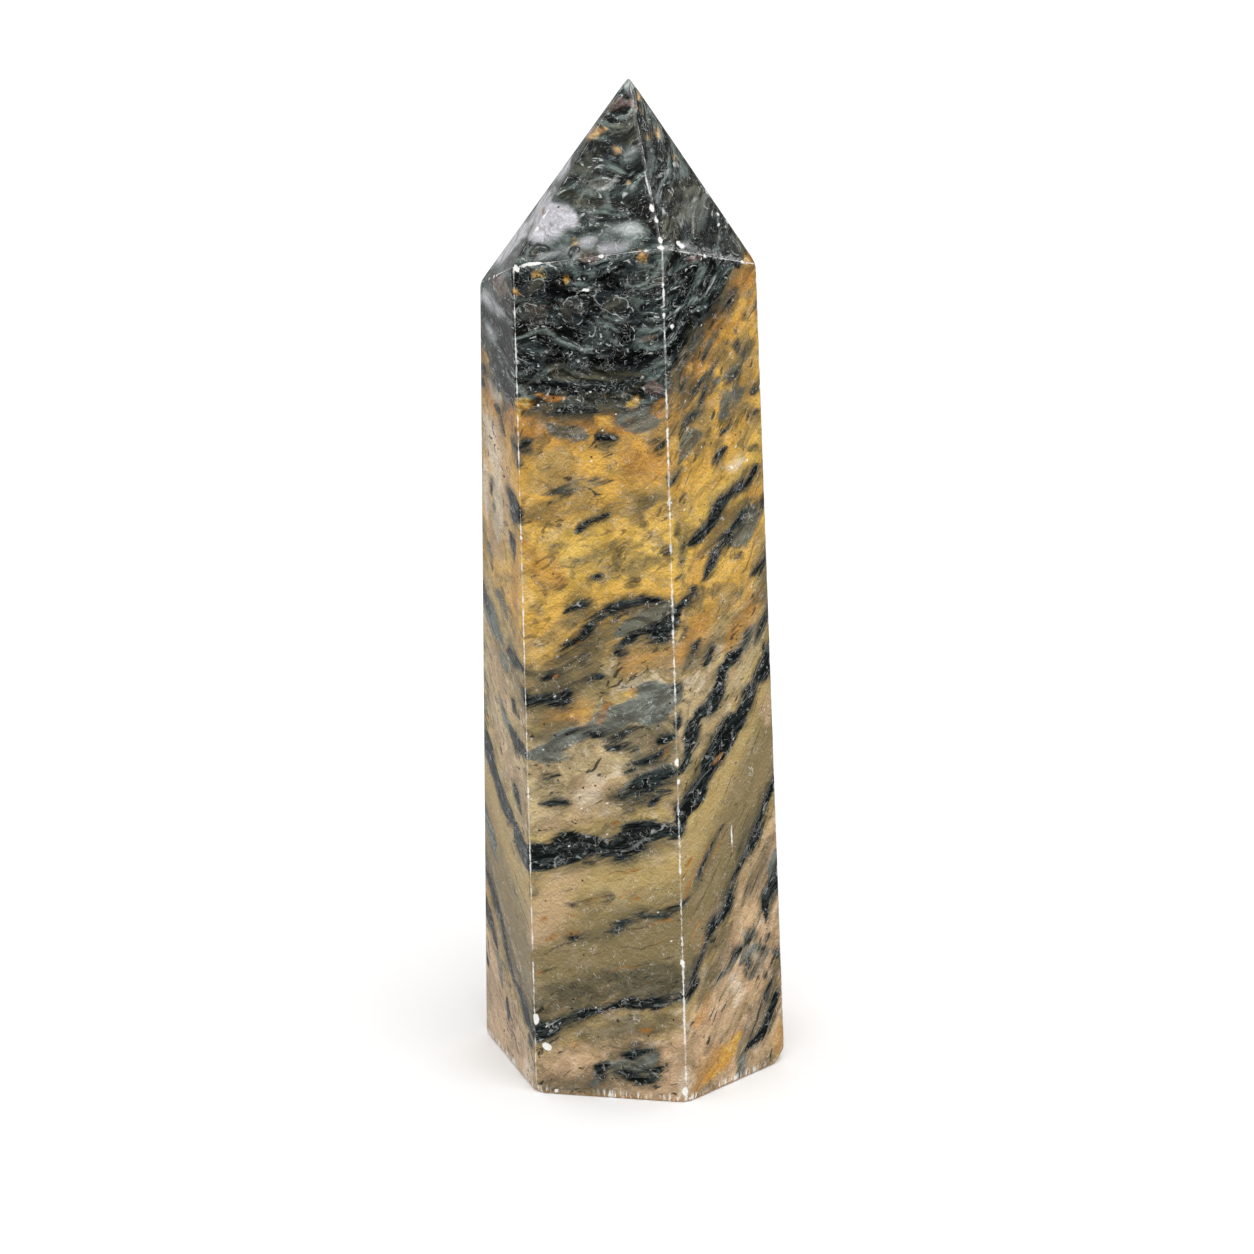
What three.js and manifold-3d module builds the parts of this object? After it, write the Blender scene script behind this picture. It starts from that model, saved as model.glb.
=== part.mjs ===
// A polished tower of banded jasper: one stone, ground to six long side flats that lean in a
// little towards the top, six triangular tip facets that meet in a blunt point, and a flat base
// that it stands on. It is cut by hand, so no two flats have quite the same lean, and the
// shoulder where the tip begins is at another height on each side edge.
// Millimetres, +Z up. The origin is the middle of the box round the tower, at the base.
// The front flat faces -Y.
import * as THREE from "three";
import { ConvexGeometry } from "three/addons/geometries/ConvexGeometry.js";
import { mergeVertices } from "three/addons/utils/BufferGeometryUtils.js";
import Module from "manifold-3d";

// The tip, before it is blunted: its height, and how far it is off the middle
const TIP = new THREE.Vector3(0.5, 0.1, 100);
const TIP_BLUNTED_BY = 0.35;

// The side flats, in order round the tower. azimuth: where the flat faces, in degrees from +X.
// reach: from the axis to the flat, at the base. lean: how far it tips inwards, in degrees.
const SIDES = {
  front: { azimuth: 270, reach: 13.4, lean: 1.65 },
  right: { azimuth: 327.9, reach: 13.7, lean: 2.0 },
  back_right: { azimuth: 28, reach: 13.05, lean: 1.2 },
  back: { azimuth: 89, reach: 13.4, lean: 1.6 },
  back_left: { azimuth: 148.3, reach: 13.7, lean: 1.9 },
  left: { azimuth: 210.2, reach: 13.2, lean: 0.1 },
};

// Side edge k lies between side k and the next one: 0 is front and right, 5 is left and front.
// The height of the shoulder on each side edge, and how deep the corner under it is ground off
const SHOULDER_HEIGHTS = [86.2, 81.9, 82.6, 80.8, 79.4, 83.8];
const CORNER_EASES = [0.5, 0.8, 0.6, 0.7, 0.35, 0.55];

// Every edge is eased by a narrow flat, this deep
const SIDE_EASE = 0.12;
const SHOULDER_EASE = 0.1;
const TIP_EASE = 0.1;
const BASE_EASE = 0.2;

// Shell-shaped chips. edge: the side edge that it is on. height: its middle. share: where the
// chip is on the tip instead, how far it is from the shoulder to the tip. width: across the
// mouth of the chip.
const CHIPS = [
  { edge: 5, height: 7.4, width: 1.4, depth: 0.3 },
  { edge: 5, height: 20.4, width: 1.2, depth: 0.2 },
  { edge: 5, height: 62.0, width: 1.1, depth: 0.18 },
  { edge: 5, height: 80.6, width: 1.3, depth: 0.2 },
  { edge: 0, height: 1.8, width: 1.7, depth: 0.3 },
  { edge: 0, height: 14.0, width: 1.1, depth: 0.2 },
  { edge: 0, height: 34.4, width: 1.2, depth: 0.2 },
  { edge: 0, height: 60.6, width: 1.5, depth: 0.26 },
  { edge: 0, height: 86.0, width: 1.7, depth: 0.3 },
  { edge: 0, share: 0.42, width: 1.3, depth: 0.2 },
  { edge: 1, height: 9.0, width: 1.2, depth: 0.2 },
  { edge: 1, height: 46.0, width: 1.0, depth: 0.16 },
  { edge: 2, height: 24.0, width: 1.6, depth: 0.26 },
  { edge: 2, height: 71.0, width: 1.2, depth: 0.2 },
  { edge: 3, height: 4.0, width: 1.8, depth: 0.3 },
  { edge: 3, height: 53.0, width: 1.2, depth: 0.2 },
  { edge: 4, height: 33.0, width: 1.3, depth: 0.22 },
  { edge: 4, height: 66.0, width: 1.0, depth: 0.16 },
];
const CHIP_DETAIL = 3; // how often the ball that cuts a chip is subdivided

// Tolerances: how far past a flat a corner may be by rounding, how close two corners are the
// same one, and how small a spread of three normals means that no point is shared
const SLACK = 1e-5;
const SAME_POINT = 1e-4;
const PARALLEL = 1e-7;

const JASPER = new THREE.MeshStandardMaterial({
  name: "jasper",
  color: 0x9a8058,
  roughness: 0.2,
  metalness: 0,
});

const wasm = await Module();
wasm.setup();

const radians = THREE.MathUtils.degToRad;
const around = (list, k) => list[(k + list.length) % list.length];

// A flat that the wheel grinds: the stone keeps what lies behind the plane.
function flat(normal, point) {
  const outward = normal.clone().normalize();
  return { outward, offset: outward.dot(point) };
}

function sideFlat({ azimuth, reach, lean }) {
  const outward = new THREE.Vector3(
    Math.cos(radians(azimuth)),
    Math.sin(radians(azimuth)),
    Math.tan(radians(lean)),
  );
  const foot = new THREE.Vector3(outward.x, outward.y, 0).multiplyScalar(reach);
  return flat(outward, foot);
}

// The point that three flats share, or null where two of them are parallel.
function meeting(a, b, c) {
  const across = new THREE.Vector3().crossVectors(b.outward, c.outward);
  const spread = a.outward.dot(across);
  if (Math.abs(spread) < PARALLEL) return null;
  return across
    .multiplyScalar(a.offset)
    .addScaledVector(new THREE.Vector3().crossVectors(c.outward, a.outward), b.offset)
    .addScaledVector(new THREE.Vector3().crossVectors(a.outward, b.outward), c.offset)
    .divideScalar(spread);
}

const level = (height) => flat(new THREE.Vector3(0, 0, 1), new THREE.Vector3(0, 0, height));

// Eases the edge or corner at a point, where these flats meet, by grinding it off to a depth.
function eased(flats, point, depth) {
  const outward = new THREE.Vector3();
  flats.forEach((f) => outward.add(f.outward));
  outward.normalize();
  return flat(outward, point.clone().addScaledVector(outward, -depth));
}

const sides = Object.values(SIDES).map(sideFlat);
const base = flat(new THREE.Vector3(0, 0, -1), new THREE.Vector3());

// Where side edge k is at a height, and the shoulder corners.
const onEdge = (k, height) => meeting(around(sides, k), around(sides, k + 1), level(height));
const shoulders = SHOULDER_HEIGHTS.map((height, k) => onEdge(k, height));

// The tip facet above each side passes through the tip and both of that side's shoulders.
const facets = sides.map((_, k) => {
  const from = around(shoulders, k - 1);
  const to = around(shoulders, k);
  const outward = to.clone().sub(from).cross(TIP.clone().sub(from));
  return flat(outward, TIP);
});

function allFlats() {
  const flats = [...sides, ...facets, base];
  sides.forEach((side, k) => {
    const next = around(sides, k + 1);
    const facet = facets[k];
    const corner = onEdge(k, 0);
    flats.push(eased([side, next], corner, SIDE_EASE));
    flats.push(eased([side, facet], shoulders[k], SHOULDER_EASE));
    flats.push(eased([facet, around(facets, k + 1)], shoulders[k], TIP_EASE));
    flats.push(eased([side, base], corner, BASE_EASE));
    flats.push(eased([side, next, base], corner, CORNER_EASES[k]));
  });
  flats.push(level(TIP.z - TIP_BLUNTED_BY));
  return flats;
}

// The corners of what is left of the stone: each point where three flats meet that no other
// flat has ground away.
function cornersOf(flats) {
  const corners = [];
  for (let i = 0; i < flats.length; i++)
    for (let j = i + 1; j < flats.length; j++)
      for (let k = j + 1; k < flats.length; k++) {
        const point = meeting(flats[i], flats[j], flats[k]);
        if (!point) continue;
        if (flats.some((f) => f.outward.dot(point) > f.offset + SLACK)) continue;
        if (corners.some((c) => c.distanceTo(point) < SAME_POINT)) continue;
        corners.push(point);
      }
  return corners;
}

// A closed geometry as a solid that can be cut.
function solidOf(geometry) {
  const bare = new THREE.BufferGeometry().setAttribute(
    "position",
    geometry.getAttribute("position"),
  );
  const merged = mergeVertices(bare, SAME_POINT);
  return new wasm.Manifold(
    new wasm.Mesh({
      numProp: 3,
      vertProperties: merged.attributes.position.array,
      triVerts: new Uint32Array(merged.index.array),
    }),
  );
}

function geometryOf(solid) {
  const mesh = solid.getMesh();
  const geometry = new THREE.BufferGeometry();
  geometry.setAttribute("position", new THREE.BufferAttribute(mesh.vertProperties, 3));
  geometry.setIndex(new THREE.BufferAttribute(mesh.triVerts, 1));
  geometry.computeVertexNormals();
  return geometry;
}

// The ball whose cap, depth deep and width wide, is knocked out of an edge.
function chipCutter({ edge, height, share, width, depth }) {
  const mouth = share ? shoulders[edge].clone().lerp(TIP, share) : onEdge(edge, height);
  const flats = share ? facets : sides;
  const outward = around(flats, edge)
    .outward.clone()
    .add(around(flats, edge + 1).outward)
    .normalize();
  const radius = ((width / 2) ** 2 + depth ** 2) / (2 * depth);
  const ball = new THREE.IcosahedronGeometry(radius, CHIP_DETAIL);
  const middle = mouth.addScaledVector(outward, radius - depth - SIDE_EASE);
  return solidOf(ball.translate(middle.x, middle.y, middle.z));
}

function tower() {
  const block = solidOf(new ConvexGeometry(cornersOf(allFlats())));
  const cut = CHIPS.reduce((stone, chip) => stone.subtract(chipCutter(chip)), block);
  const geometry = geometryOf(cut);
  geometry.computeBoundingBox();
  const middle = geometry.boundingBox.getCenter(new THREE.Vector3());
  return geometry.translate(-middle.x, -middle.y, 0);
}

const stone = new THREE.Mesh(tower(), JASPER);
stone.name = "jasper_tower";

const group = new THREE.Group();
group.add(stone);

export default group;
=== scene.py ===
"""A polished tower of banded jasper on a plain pale floor.

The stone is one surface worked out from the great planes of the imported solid. Its bands follow
horizons that run round the tower, its streaks, patches, clasts and chips are marks that lie on
it, and one node material turns both into colour, gloss and fine relief.
"""
import math

import bpy
import numpy as np
from bpy.props import FloatProperty, FloatVectorProperty, IntProperty, PointerProperty
from mathutils import Matrix, Vector


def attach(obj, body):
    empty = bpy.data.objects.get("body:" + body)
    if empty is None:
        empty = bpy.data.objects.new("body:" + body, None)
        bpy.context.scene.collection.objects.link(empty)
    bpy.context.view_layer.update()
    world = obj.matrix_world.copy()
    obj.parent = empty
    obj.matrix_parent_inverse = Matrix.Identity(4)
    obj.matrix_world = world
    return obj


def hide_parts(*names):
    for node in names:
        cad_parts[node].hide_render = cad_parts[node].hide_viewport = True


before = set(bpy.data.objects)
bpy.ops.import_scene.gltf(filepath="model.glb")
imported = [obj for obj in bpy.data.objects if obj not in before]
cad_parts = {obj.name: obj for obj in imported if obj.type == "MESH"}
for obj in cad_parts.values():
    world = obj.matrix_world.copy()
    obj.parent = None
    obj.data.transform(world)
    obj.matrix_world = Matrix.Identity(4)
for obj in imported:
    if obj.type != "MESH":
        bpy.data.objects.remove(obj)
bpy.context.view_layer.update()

bl_info = {
    "name": "Jasper tower",
    "version": (1, 0, 0),
    "blender": (4, 5, 0),
    "location": "3D View > Sidebar > Jasper tower",
    "description": "Makes a polished tower of banded jasper and the plain studio it stands in",
    "category": "Add Mesh",
}

NODE = "jasper_tower"
MM = 0.001

# The tower is measured in millimetres. A place on it is (around, height): around runs once
# round the tower, with the left side from 0 to 1, the front from 1 to 2, the right from 2 to 3
# and the three sides at the back from 3 to 6.
SIDES = 6
SEAM = 4.5  # where the ring of columns begins: the middle of the back

# The horizons that the bands follow. Each has its level, which is about its height at the
# middle of the front, and its height at every station round the tower.
STATIONS = (0, 0.5, 1, 1.25, 1.5, 1.75, 2, 2.25, 2.5, 2.75, 3, 4, 5, 6)
HORIZONS = (
    (9.5, (18.3, 11.7, 6.1, 8.3, 9.7, 10.3, 11.6, 15.4, 19.6, 24.8, 29.6, 42.0, 36.0, 18.3)),
    (26.0, (33.3, 27.5, 24.2, 25.1, 26.7, 27.9, 28.9, 32.5, 36.0, 39.3, 45.2, 58.0, 51.0, 33.3)),
    (38.0, (44.0, 38.2, 35.2, 36.6, 38.4, 40.4, 42.2, 43.6, 44.4, 45.4, 48.5, 66.0, 60.0, 44.0)),
    (49.0, (53.0, 49.5, 46.0, 46.6, 48.0, 48.6, 48.8, 47.6, 48.2, 49.6, 53.0, 74.0, 69.0, 53.0)),
    (71.5, (73.3, 71.2, 71.0, 71.2, 71.4, 71.6, 73.5, 77.0, 79.2, 81.6, 84.5, 98.0, 93.0, 73.3)),
)
LEVELS = np.array([level for level, _ in HORIZONS])

# The marks that are listed one by one, by kind: each is its width and the places that it runs
# through.
MARKS = {
    # black and charcoal streaks
    "dark": (
        # on the front
        (1.5, (1.04, 72.2), (1.3, 72.2), (1.55, 72.5), (1.75, 73.0), (1.86, 73.6)),
        (0.7, (1.08, 69.5), (1.2, 69.7), (1.35, 69.7), (1.5, 70.0), (1.6, 70.2)),
        (0.5, (1.1, 71.0), (1.3, 71.2), (1.5, 71.0)),
        (0.9, (1.5, 67.4), (1.68, 67.2)),
        (0.7, (1.82, 67.0), (1.9, 67.2), (2.0, 67.7)),
        (0.8, (1.0, 66.1), (1.12, 66.6)),
        (0.7, (1.17, 61.5), (1.3, 62.0), (1.42, 62.5)),
        (0.5, (1.38, 62.8), (1.52, 63.3), (1.64, 63.5)),
        (0.6, (1.33, 58.1), (1.46, 58.9), (1.54, 59.5), (1.63, 60.4)),
        (0.8, (1.23, 55.8), (1.26, 56.6)),
        (0.4, (1.05, 52.9), (1.14, 53.5)),
        (0.4, (1.45, 53.2), (1.55, 54.0)),
        (0.5, (1.02, 60.6), (1.06, 61.0)),
        (0.4, (1.8, 59.2), (1.87, 59.6)),
        (0.4, (1.9, 56.8), (1.97, 57.2)),
        (0.4, (1.66, 52.6), (1.81, 53.8)),
        (0.6, (1.25, 49.8), (1.35, 50.7), (1.53, 51.3)),
        (0.95, (1.14, 43.8), (1.32, 46.6), (1.42, 48.1), (1.5, 49.3), (1.62, 50.4), (1.75, 51.2),
         (1.95, 51.7)),
        (0.6, (1.0, 43.2), (1.1, 43.6), (1.2, 44.6), (1.28, 46.0)),
        (1.1, (1.36, 47.2), (1.42, 48.0), (1.48, 48.9)),
        (1.9, (1.68, 47.0), (1.8, 48.1), (1.9, 48.7), (2.0, 50.1), (2.1, 51.6)),
        (0.7, (1.6, 45.8), (1.72, 47.1)),
        (0.5, (1.0, 43.5), (1.2, 44.1), (1.35, 45.0), (1.45, 46.0)),
        (1.5, (0.94, 40.1), (1.12, 40.8), (1.27, 41.5), (1.4, 42.4)),
        (0.9, (1.26, 41.6), (1.4, 42.6), (1.56, 43.9)),
        (0.4, (1.3, 44.0), (1.4, 44.9), (1.44, 46.4)),
        (0.4, (1.25, 37.0), (1.42, 37.6), (1.6, 38.0), (1.78, 38.6)),
        (0.9, (1.84, 37.0), (2.0, 38.0)),
        (0.8, (1.66, 35.4), (1.86, 35.9), (1.98, 36.4)),
        (0.5, (1.5, 36.4), (1.62, 36.9), (1.75, 36.8)),
        (0.6, (1.6, 34.0), (1.72, 34.8)),
        (0.5, (1.76, 31.0), (1.88, 31.5), (2.0, 31.9)),
        (0.4, (1.06, 33.0), (1.16, 33.4), (1.24, 33.3)),
        (0.5, (1.6, 30.0), (1.74, 30.5)),
        (1.2, (1.64, 32.4), (1.76, 33.1), (1.88, 33.7), (2.02, 34.4)),
        (0.7, (1.56, 31.3), (1.72, 32.0), (1.86, 32.5), (2.0, 33.0)),
        (0.4, (1.07, 29.7), (1.2, 30.4), (1.3, 30.7)),
        (2.1, (0.9, 24.7), (1.1, 25.0), (1.3, 25.8), (1.45, 26.5), (1.6, 27.1), (1.8, 27.7),
         (2.0, 28.5), (2.12, 30.5)),
        (3.0, (0.94, 24.4), (1.02, 24.5), (1.16, 25.0)),
        (2.3, (1.12, 25.1), (1.3, 25.7), (1.5, 26.5), (1.65, 27.1), (1.8, 27.6)),
        (2.6, (1.5, 26.9), (1.75, 27.6), (1.97, 28.4)),
        (0.6, (1.01, 20.8), (1.07, 20.4)),
        (0.5, (1.2, 16.2), (1.5, 17.4), (1.7, 18.9), (1.88, 19.8), (2.0, 20.6), (2.12, 21.8)),
        (0.35, (1.25, 20.4), (1.4, 20.8), (1.56, 21.2)),
        (1.4, (0.98, 5.9), (1.06, 6.5), (1.16, 7.3)),
        (0.8, (0.98, 5.9), (1.2, 7.9), (1.3, 8.8), (1.42, 9.4), (1.62, 9.9), (1.8, 10.4),
         (2.0, 11.3), (2.12, 12.6)),
        (1.4, (1.44, 2.0), (1.55, 2.5), (1.7, 2.6), (1.84, 3.2), (1.94, 4.2)),
        (1.3, (1.54, 3.6), (1.47, 2.6), (1.43, 1.3)),
        (0.9, (1.48, 3.6), (1.56, 4.6), (1.66, 5.1), (1.8, 5.1)),
        (1.2, (1.42, 94.6), (1.7, 95.2), (2.0, 95.9)),
        (0.8, (1.0, 93.8), (1.15, 93.7), (1.3, 93.4)),
        (0.5, (1.0, 89.9), (1.3, 89.7), (1.6, 89.5)),
        # on the right
        (1.4, (2.02, 96.2), (2.22, 96.2)),
        (0.6, (2.0, 86.6), (2.3, 88.3), (2.5, 89.3), (3.0, 91.0)),
        (0.6, (2.55, 78.3), (2.7, 79.2), (2.84, 80.3)),
        (0.4, (2.28, 75.3), (2.34, 76.6), (2.45, 77.4)),
        (0.5, (2.52, 75.8), (2.58, 76.6)),
        (0.4, (2.7, 76.2), (2.78, 76.7)),
        (0.5, (2.4, 73.6), (2.47, 75.2)),
        (0.5, (2.15, 67.6), (2.26, 68.8), (2.36, 69.4)),
        (0.6, (2.6, 70.4), (2.7, 71.8), (2.78, 72.6)),
        (0.5, (2.55, 66.0), (2.68, 67.4), (2.82, 68.2)),
        (0.5, (2.3, 64.6), (2.42, 65.6)),
        (0.6, (2.86, 69.2), (2.97, 70.4)),
        (0.5, (2.84, 76.6), (2.92, 77.8)),
        (0.7, (2.05, 69.0), (2.15, 70.0), (2.25, 71.2), (2.35, 72.0), (2.45, 73.1)),
        (0.5, (2.09, 71.3), (2.15, 73.0), (2.25, 74.1)),
        (0.4, (2.76, 73.4), (2.87, 74.3), (2.97, 75.2)),
        (0.4, (2.0, 71.4), (2.08, 73.0)),
        (0.35, (2.3, 69.6), (2.4, 71.4), (2.52, 73.2)),
        (0.35, (2.45, 70.0), (2.58, 72.0)),
        (0.3, (2.5, 73.2), (2.62, 74.8)),
        (0.35, (2.66, 74.2), (2.78, 75.4)),
        (0.4, (2.02, 67.6), (2.12, 69.2)),
        (0.3, (2.36, 66.4), (2.46, 67.8)),
        (0.35, (2.5, 64.4), (2.62, 65.8)),
        (0.3, (2.84, 63.6), (2.95, 64.6)),
        (0.4, (2.1, 61.2), (2.2, 62.0)),
        (0.35, (2.02, 57.8), (2.12, 58.6)),
        (0.3, (2.05, 55.4), (2.16, 56.4)),
        (0.4, (2.36, 50.8), (2.48, 51.8)),
        (0.3, (2.64, 53.6), (2.72, 54.4)),
        (0.4, (2.05, 47.4), (2.14, 48.6)),
        (0.5, (2.84, 66.5), (2.98, 67.1)),
        (0.5, (2.0, 63.0), (2.1, 63.8), (2.22, 64.4)),
        (0.7, (2.4, 62.9), (2.5, 64.0), (2.66, 65.0)),
        (1.5, (2.19, 56.2), (2.3, 57.0), (2.4, 58.3), (2.5, 59.0), (2.62, 59.7)),
        (1.2, (2.56, 59.4), (2.7, 60.2), (2.85, 60.9), (3.0, 62.1)),
        (0.5, (2.0, 53.7), (2.15, 54.4)),
        (1.1, (2.0, 50.3), (2.1, 51.0), (2.2, 51.8), (2.28, 52.9)),
        (1.4, (2.3, 53.0), (2.45, 54.0), (2.53, 55.4), (2.62, 56.8)),
        (1.1, (2.58, 56.6), (2.7, 57.2), (2.85, 57.5), (3.0, 57.8)),
        (0.9, (2.82, 51.1), (2.93, 51.8), (3.0, 53.0)),
        (0.5, (2.02, 42.3), (2.1, 43.6)),
        (0.5, (2.08, 44.2), (2.18, 45.6), (2.26, 46.8)),
        (0.6, (2.28, 43.4), (2.36, 45.0), (2.4, 46.4)),
        (1.4, (2.52, 43.0), (2.62, 44.0), (2.7, 44.8)),
        (0.8, (2.68, 44.8), (2.8, 45.9)),
        (0.8, (2.0, 38.8), (2.06, 40.0)),
        (1.0, (2.0, 33.9), (2.08, 35.2), (2.12, 36.4)),
        (1.9, (2.08, 35.8), (2.16, 37.4), (2.25, 38.9)),
        (1.9, (2.22, 38.8), (2.36, 40.0), (2.46, 42.1), (2.58, 43.6)),
        (2.3, (2.0, 28.8), (2.12, 30.5), (2.3, 33.2)),
        (2.9, (2.24, 32.5), (2.4, 35.0), (2.55, 37.0), (2.68, 38.3)),
        (2.0, (2.6, 37.9), (2.74, 38.8), (2.86, 40.3)),
        (1.5, (2.6, 36.2), (2.72, 38.0)),
        (1.6, (2.82, 39.8), (2.92, 41.6), (3.0, 43.8)),
        (0.3, (2.08, 21.2), (2.2, 23.0), (2.35, 25.6), (2.5, 27.7)),
        (0.7, (1.95, 11.0), (2.05, 12.2), (2.2, 15.0), (2.38, 17.9), (2.5, 20.0), (2.65, 23.0),
         (2.77, 25.2), (2.9, 27.8), (3.05, 30.4)),
        (1.0, (2.4, 18.4), (2.5, 20.1)),
        (1.7, (2.86, 15.8), (2.95, 19.0), (3.0, 21.8)),
        (0.35, (2.25, 10.4), (2.32, 11.4), (2.4, 12.3)),
        (0.4, (2.42, 12.6), (2.5, 13.6), (2.6, 13.2)),
        (0.5, (2.62, 13.4), (2.7, 14.6), (2.74, 15.8)),
        (0.3, (2.6, 10.2), (2.66, 11.2), (2.6, 12.0)),
        (0.4, (2.72, 11.6), (2.8, 12.6), (2.9, 12.4)),
        (0.5, (2.84, 13.2), (2.9, 14.2)),
        (0.4, (2.92, 10.9), (2.97, 11.9)),
        (0.4, (2.76, 9.6), (2.84, 10.2)),
        (0.6, (2.78, 6.6), (2.9, 8.6)),
        (1.3, (2.63, 2.4), (2.74, 4.0), (2.85, 5.4), (3.0, 7.8)),
        # on the left
        (2.0, (0.62, 92.5), (1.0, 92.9)),
        (0.7, (0.25, 96.2), (0.6, 96.4), (1.0, 96.5)),
        (0.5, (0.5, 82.6), (0.7, 83.2), (0.9, 84.4)),
        (0.4, (0.78, 86.1), (1.0, 86.4)),
        (1.0, (0.76, 84.9), (1.0, 85.3)),
        (0.9, (0.0, 71.0), (0.25, 70.6), (0.5, 70.8)),
        (0.7, (0.0, 69.4), (0.2, 69.1)),
        (1.1, (0.36, 68.4), (0.5, 68.1), (0.6, 67.2), (0.7, 66.6)),
        (1.0, (0.8, 66.7), (0.92, 66.3), (1.0, 65.8)),
        (0.6, (0.93, 64.8), (1.0, 64.5)),
        (2.4, (0.78, 60.4), (0.87, 59.3), (0.97, 59.3)),
        (1.5, (0.7, 56.9), (0.78, 55.8), (0.81, 54.6)),
        (0.8, (0.25, 60.3), (0.26, 59.6)),
        (1.1, (0.53, 44.2), (0.65, 44.8), (0.75, 44.4), (0.88, 43.9), (1.0, 43.6)),
        (1.3, (0.88, 41.5), (0.97, 40.8), (1.0, 40.2)),
        (0.9, (0.72, 39.8), (0.81, 38.9)),
        (1.0, (0.6, 36.2), (0.72, 35.5), (0.86, 35.2), (1.0, 34.9)),
        (1.0, (0.62, 30.7), (0.77, 29.9), (0.86, 29.0)),
        (2.1, (0.0, 33.3), (0.1, 31.4), (0.3, 29.3), (0.5, 27.4), (0.7, 26.0)),
        (2.4, (0.64, 26.4), (0.82, 25.1), (1.0, 24.0)),
        (0.9, (0.0, 18.4), (0.12, 17.2), (0.22, 15.8), (0.35, 13.8), (0.5, 11.7), (0.64, 9.7)),
        (1.2, (0.6, 10.1), (0.75, 8.2), (0.88, 6.8), (1.0, 5.6)),
        (1.0, (0.46, 6.7), (0.5, 5.0), (0.49, 3.8)),
        (0.9, (0.9, 5.2), (0.95, 4.4)),
        # round the back
        (1.4, (2.9, 43.4), (3.3, 48.4), (3.6, 53.4), (3.8, 54.8), (4.0, 57.4), (4.2, 58.0)),
        (1.6, (4.1, 57.2), (4.4, 55.8), (4.7, 52.0), (5.0, 50.6), (5.3, 46.8)),
        (1.4, (5.2, 47.2), (5.5, 41.6), (5.8, 37.4), (6.1, 31.6)),
        (1.0, (2.95, 28.6), (3.3, 33.2), (3.6, 37.6), (4.0, 41.4), (4.3, 41.0)),
        (0.9, (4.2, 41.6), (4.6, 38.6), (5.0, 36.2), (5.4, 29.2), (5.7, 24.2), (6.05, 18.0)),
        (1.2, (3.1, 71.4), (3.5, 77.6), (3.8, 80.6)),
        (1.2, (4.5, 84.6), (4.8, 82.8), (5.2, 76.0)),
    ),
    # soft bands and clouds of grey-green
    "grey": (
        (1.5, (1.19, 68.7), (1.3, 68.1), (1.48, 67.3)),
        (2.3, (1.7, 69.5), (1.82, 69.3), (1.93, 69.2)),
        (1.3, (1.18, 61.6), (1.4, 62.7), (1.6, 63.4)),
        (2.2, (1.6, 32.0), (1.8, 33.4), (2.0, 34.6)),
        (2.4, (0.94, 34.6), (1.2, 36.2), (1.46, 38.0)),
        (2.6, (1.36, 37.6), (1.58, 39.1), (1.78, 40.5)),
        (4.0, (1.68, 40.1), (1.85, 41.3), (2.04, 42.2)),
        (1.5, (2.0, 41.8), (2.09, 43.1)),
        (2.6, (1.64, 48.0), (1.82, 49.6), (2.0, 51.4)),
        (2.6, (2.6, 55.5), (2.75, 56.3), (2.94, 56.7)),
        (3.0, (2.5, 86.6), (2.6, 88.3), (2.9, 89.0)),
        (2.2, (2.8, 84.9), (2.88, 84.0)),
        (2.0, (1.2, 91.4), (1.45, 91.2)),
        (1.8, (2.12, 65.2), (2.25, 66.3), (2.36, 67.4)),
        (1.7, (2.56, 68.4), (2.68, 69.6), (2.8, 70.2)),
        (1.2, (2.4, 74.0), (2.5, 75.2), (2.5, 76.4)),
        (1.0, (2.6, 71.5), (2.68, 72.4), (2.74, 72.9)),
        (1.4, (2.1, 71.2), (2.16, 72.8), (2.3, 74.8)),
        (1.4, (2.56, 43.8), (2.7, 44.9), (2.86, 46.2)),
        (1.3, (2.47, 0.7), (2.6, 2.0), (2.68, 3.2)),
        (1.2, (2.88, 19.8), (2.94, 21.4), (3.0, 22.4)),
        (1.2, (2.3, 11.0), (2.45, 12.6), (2.6, 13.6)),
        (1.4, (2.55, 11.4), (2.7, 12.8), (2.86, 12.4)),
        (1.0, (2.62, 10.0), (2.75, 11.2), (2.9, 12.2)),
        (1.0, (2.62, 13.4), (2.72, 15.2)),
        (1.6, (1.36, 1.4), (1.5, 3.0), (1.7, 4.2), (1.88, 4.9)),
        (1.4, (0.1, 53.8), (0.24, 52.3), (0.3, 51.0)),
        (1.5, (0.35, 49.3), (0.5, 48.6), (0.62, 47.6)),
        (2.6, (0.0, 47.6), (0.15, 46.3), (0.3, 45.3), (0.48, 44.3)),
        (1.3, (0.38, 43.0), (0.52, 42.3), (0.62, 41.9)),
        (1.6, (0.32, 39.1), (0.45, 37.6), (0.6, 36.3), (0.75, 35.6)),
        (1.0, (0.0, 36.6), (0.1, 35.0)),
        (0.9, (0.3, 58.2), (0.31, 57.5)),
        (1.6, (0.0, 25.5), (0.14, 23.2), (0.3, 20.0)),
        (1.2, (0.18, 10.8), (0.3, 8.6), (0.38, 7.2)),
    ),
    # ochre and orange patches
    "gold": (
        (1.2, (1.0, 70.5), (1.09, 70.4)),
        (1.0, (1.02, 69.2), (1.03, 68.2)),
        (1.4, (1.53, 69.7), (1.58, 68.9), (1.62, 68.2)),
        (1.0, (1.73, 70.9), (1.85, 71.0)),
        (0.8, (0.08, 73.0), (0.25, 72.1)),
        (0.6, (1.28, 39.6), (1.4, 40.2), (1.51, 40.3)),
        (0.8, (1.65, 41.8), (1.76, 43.0)),
        (0.7, (1.9, 36.2), (1.95, 35.6)),
        (1.7, (2.13, 1.0), (2.27, 2.0), (2.4, 3.4), (2.5, 4.5), (2.62, 5.3)),
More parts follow.
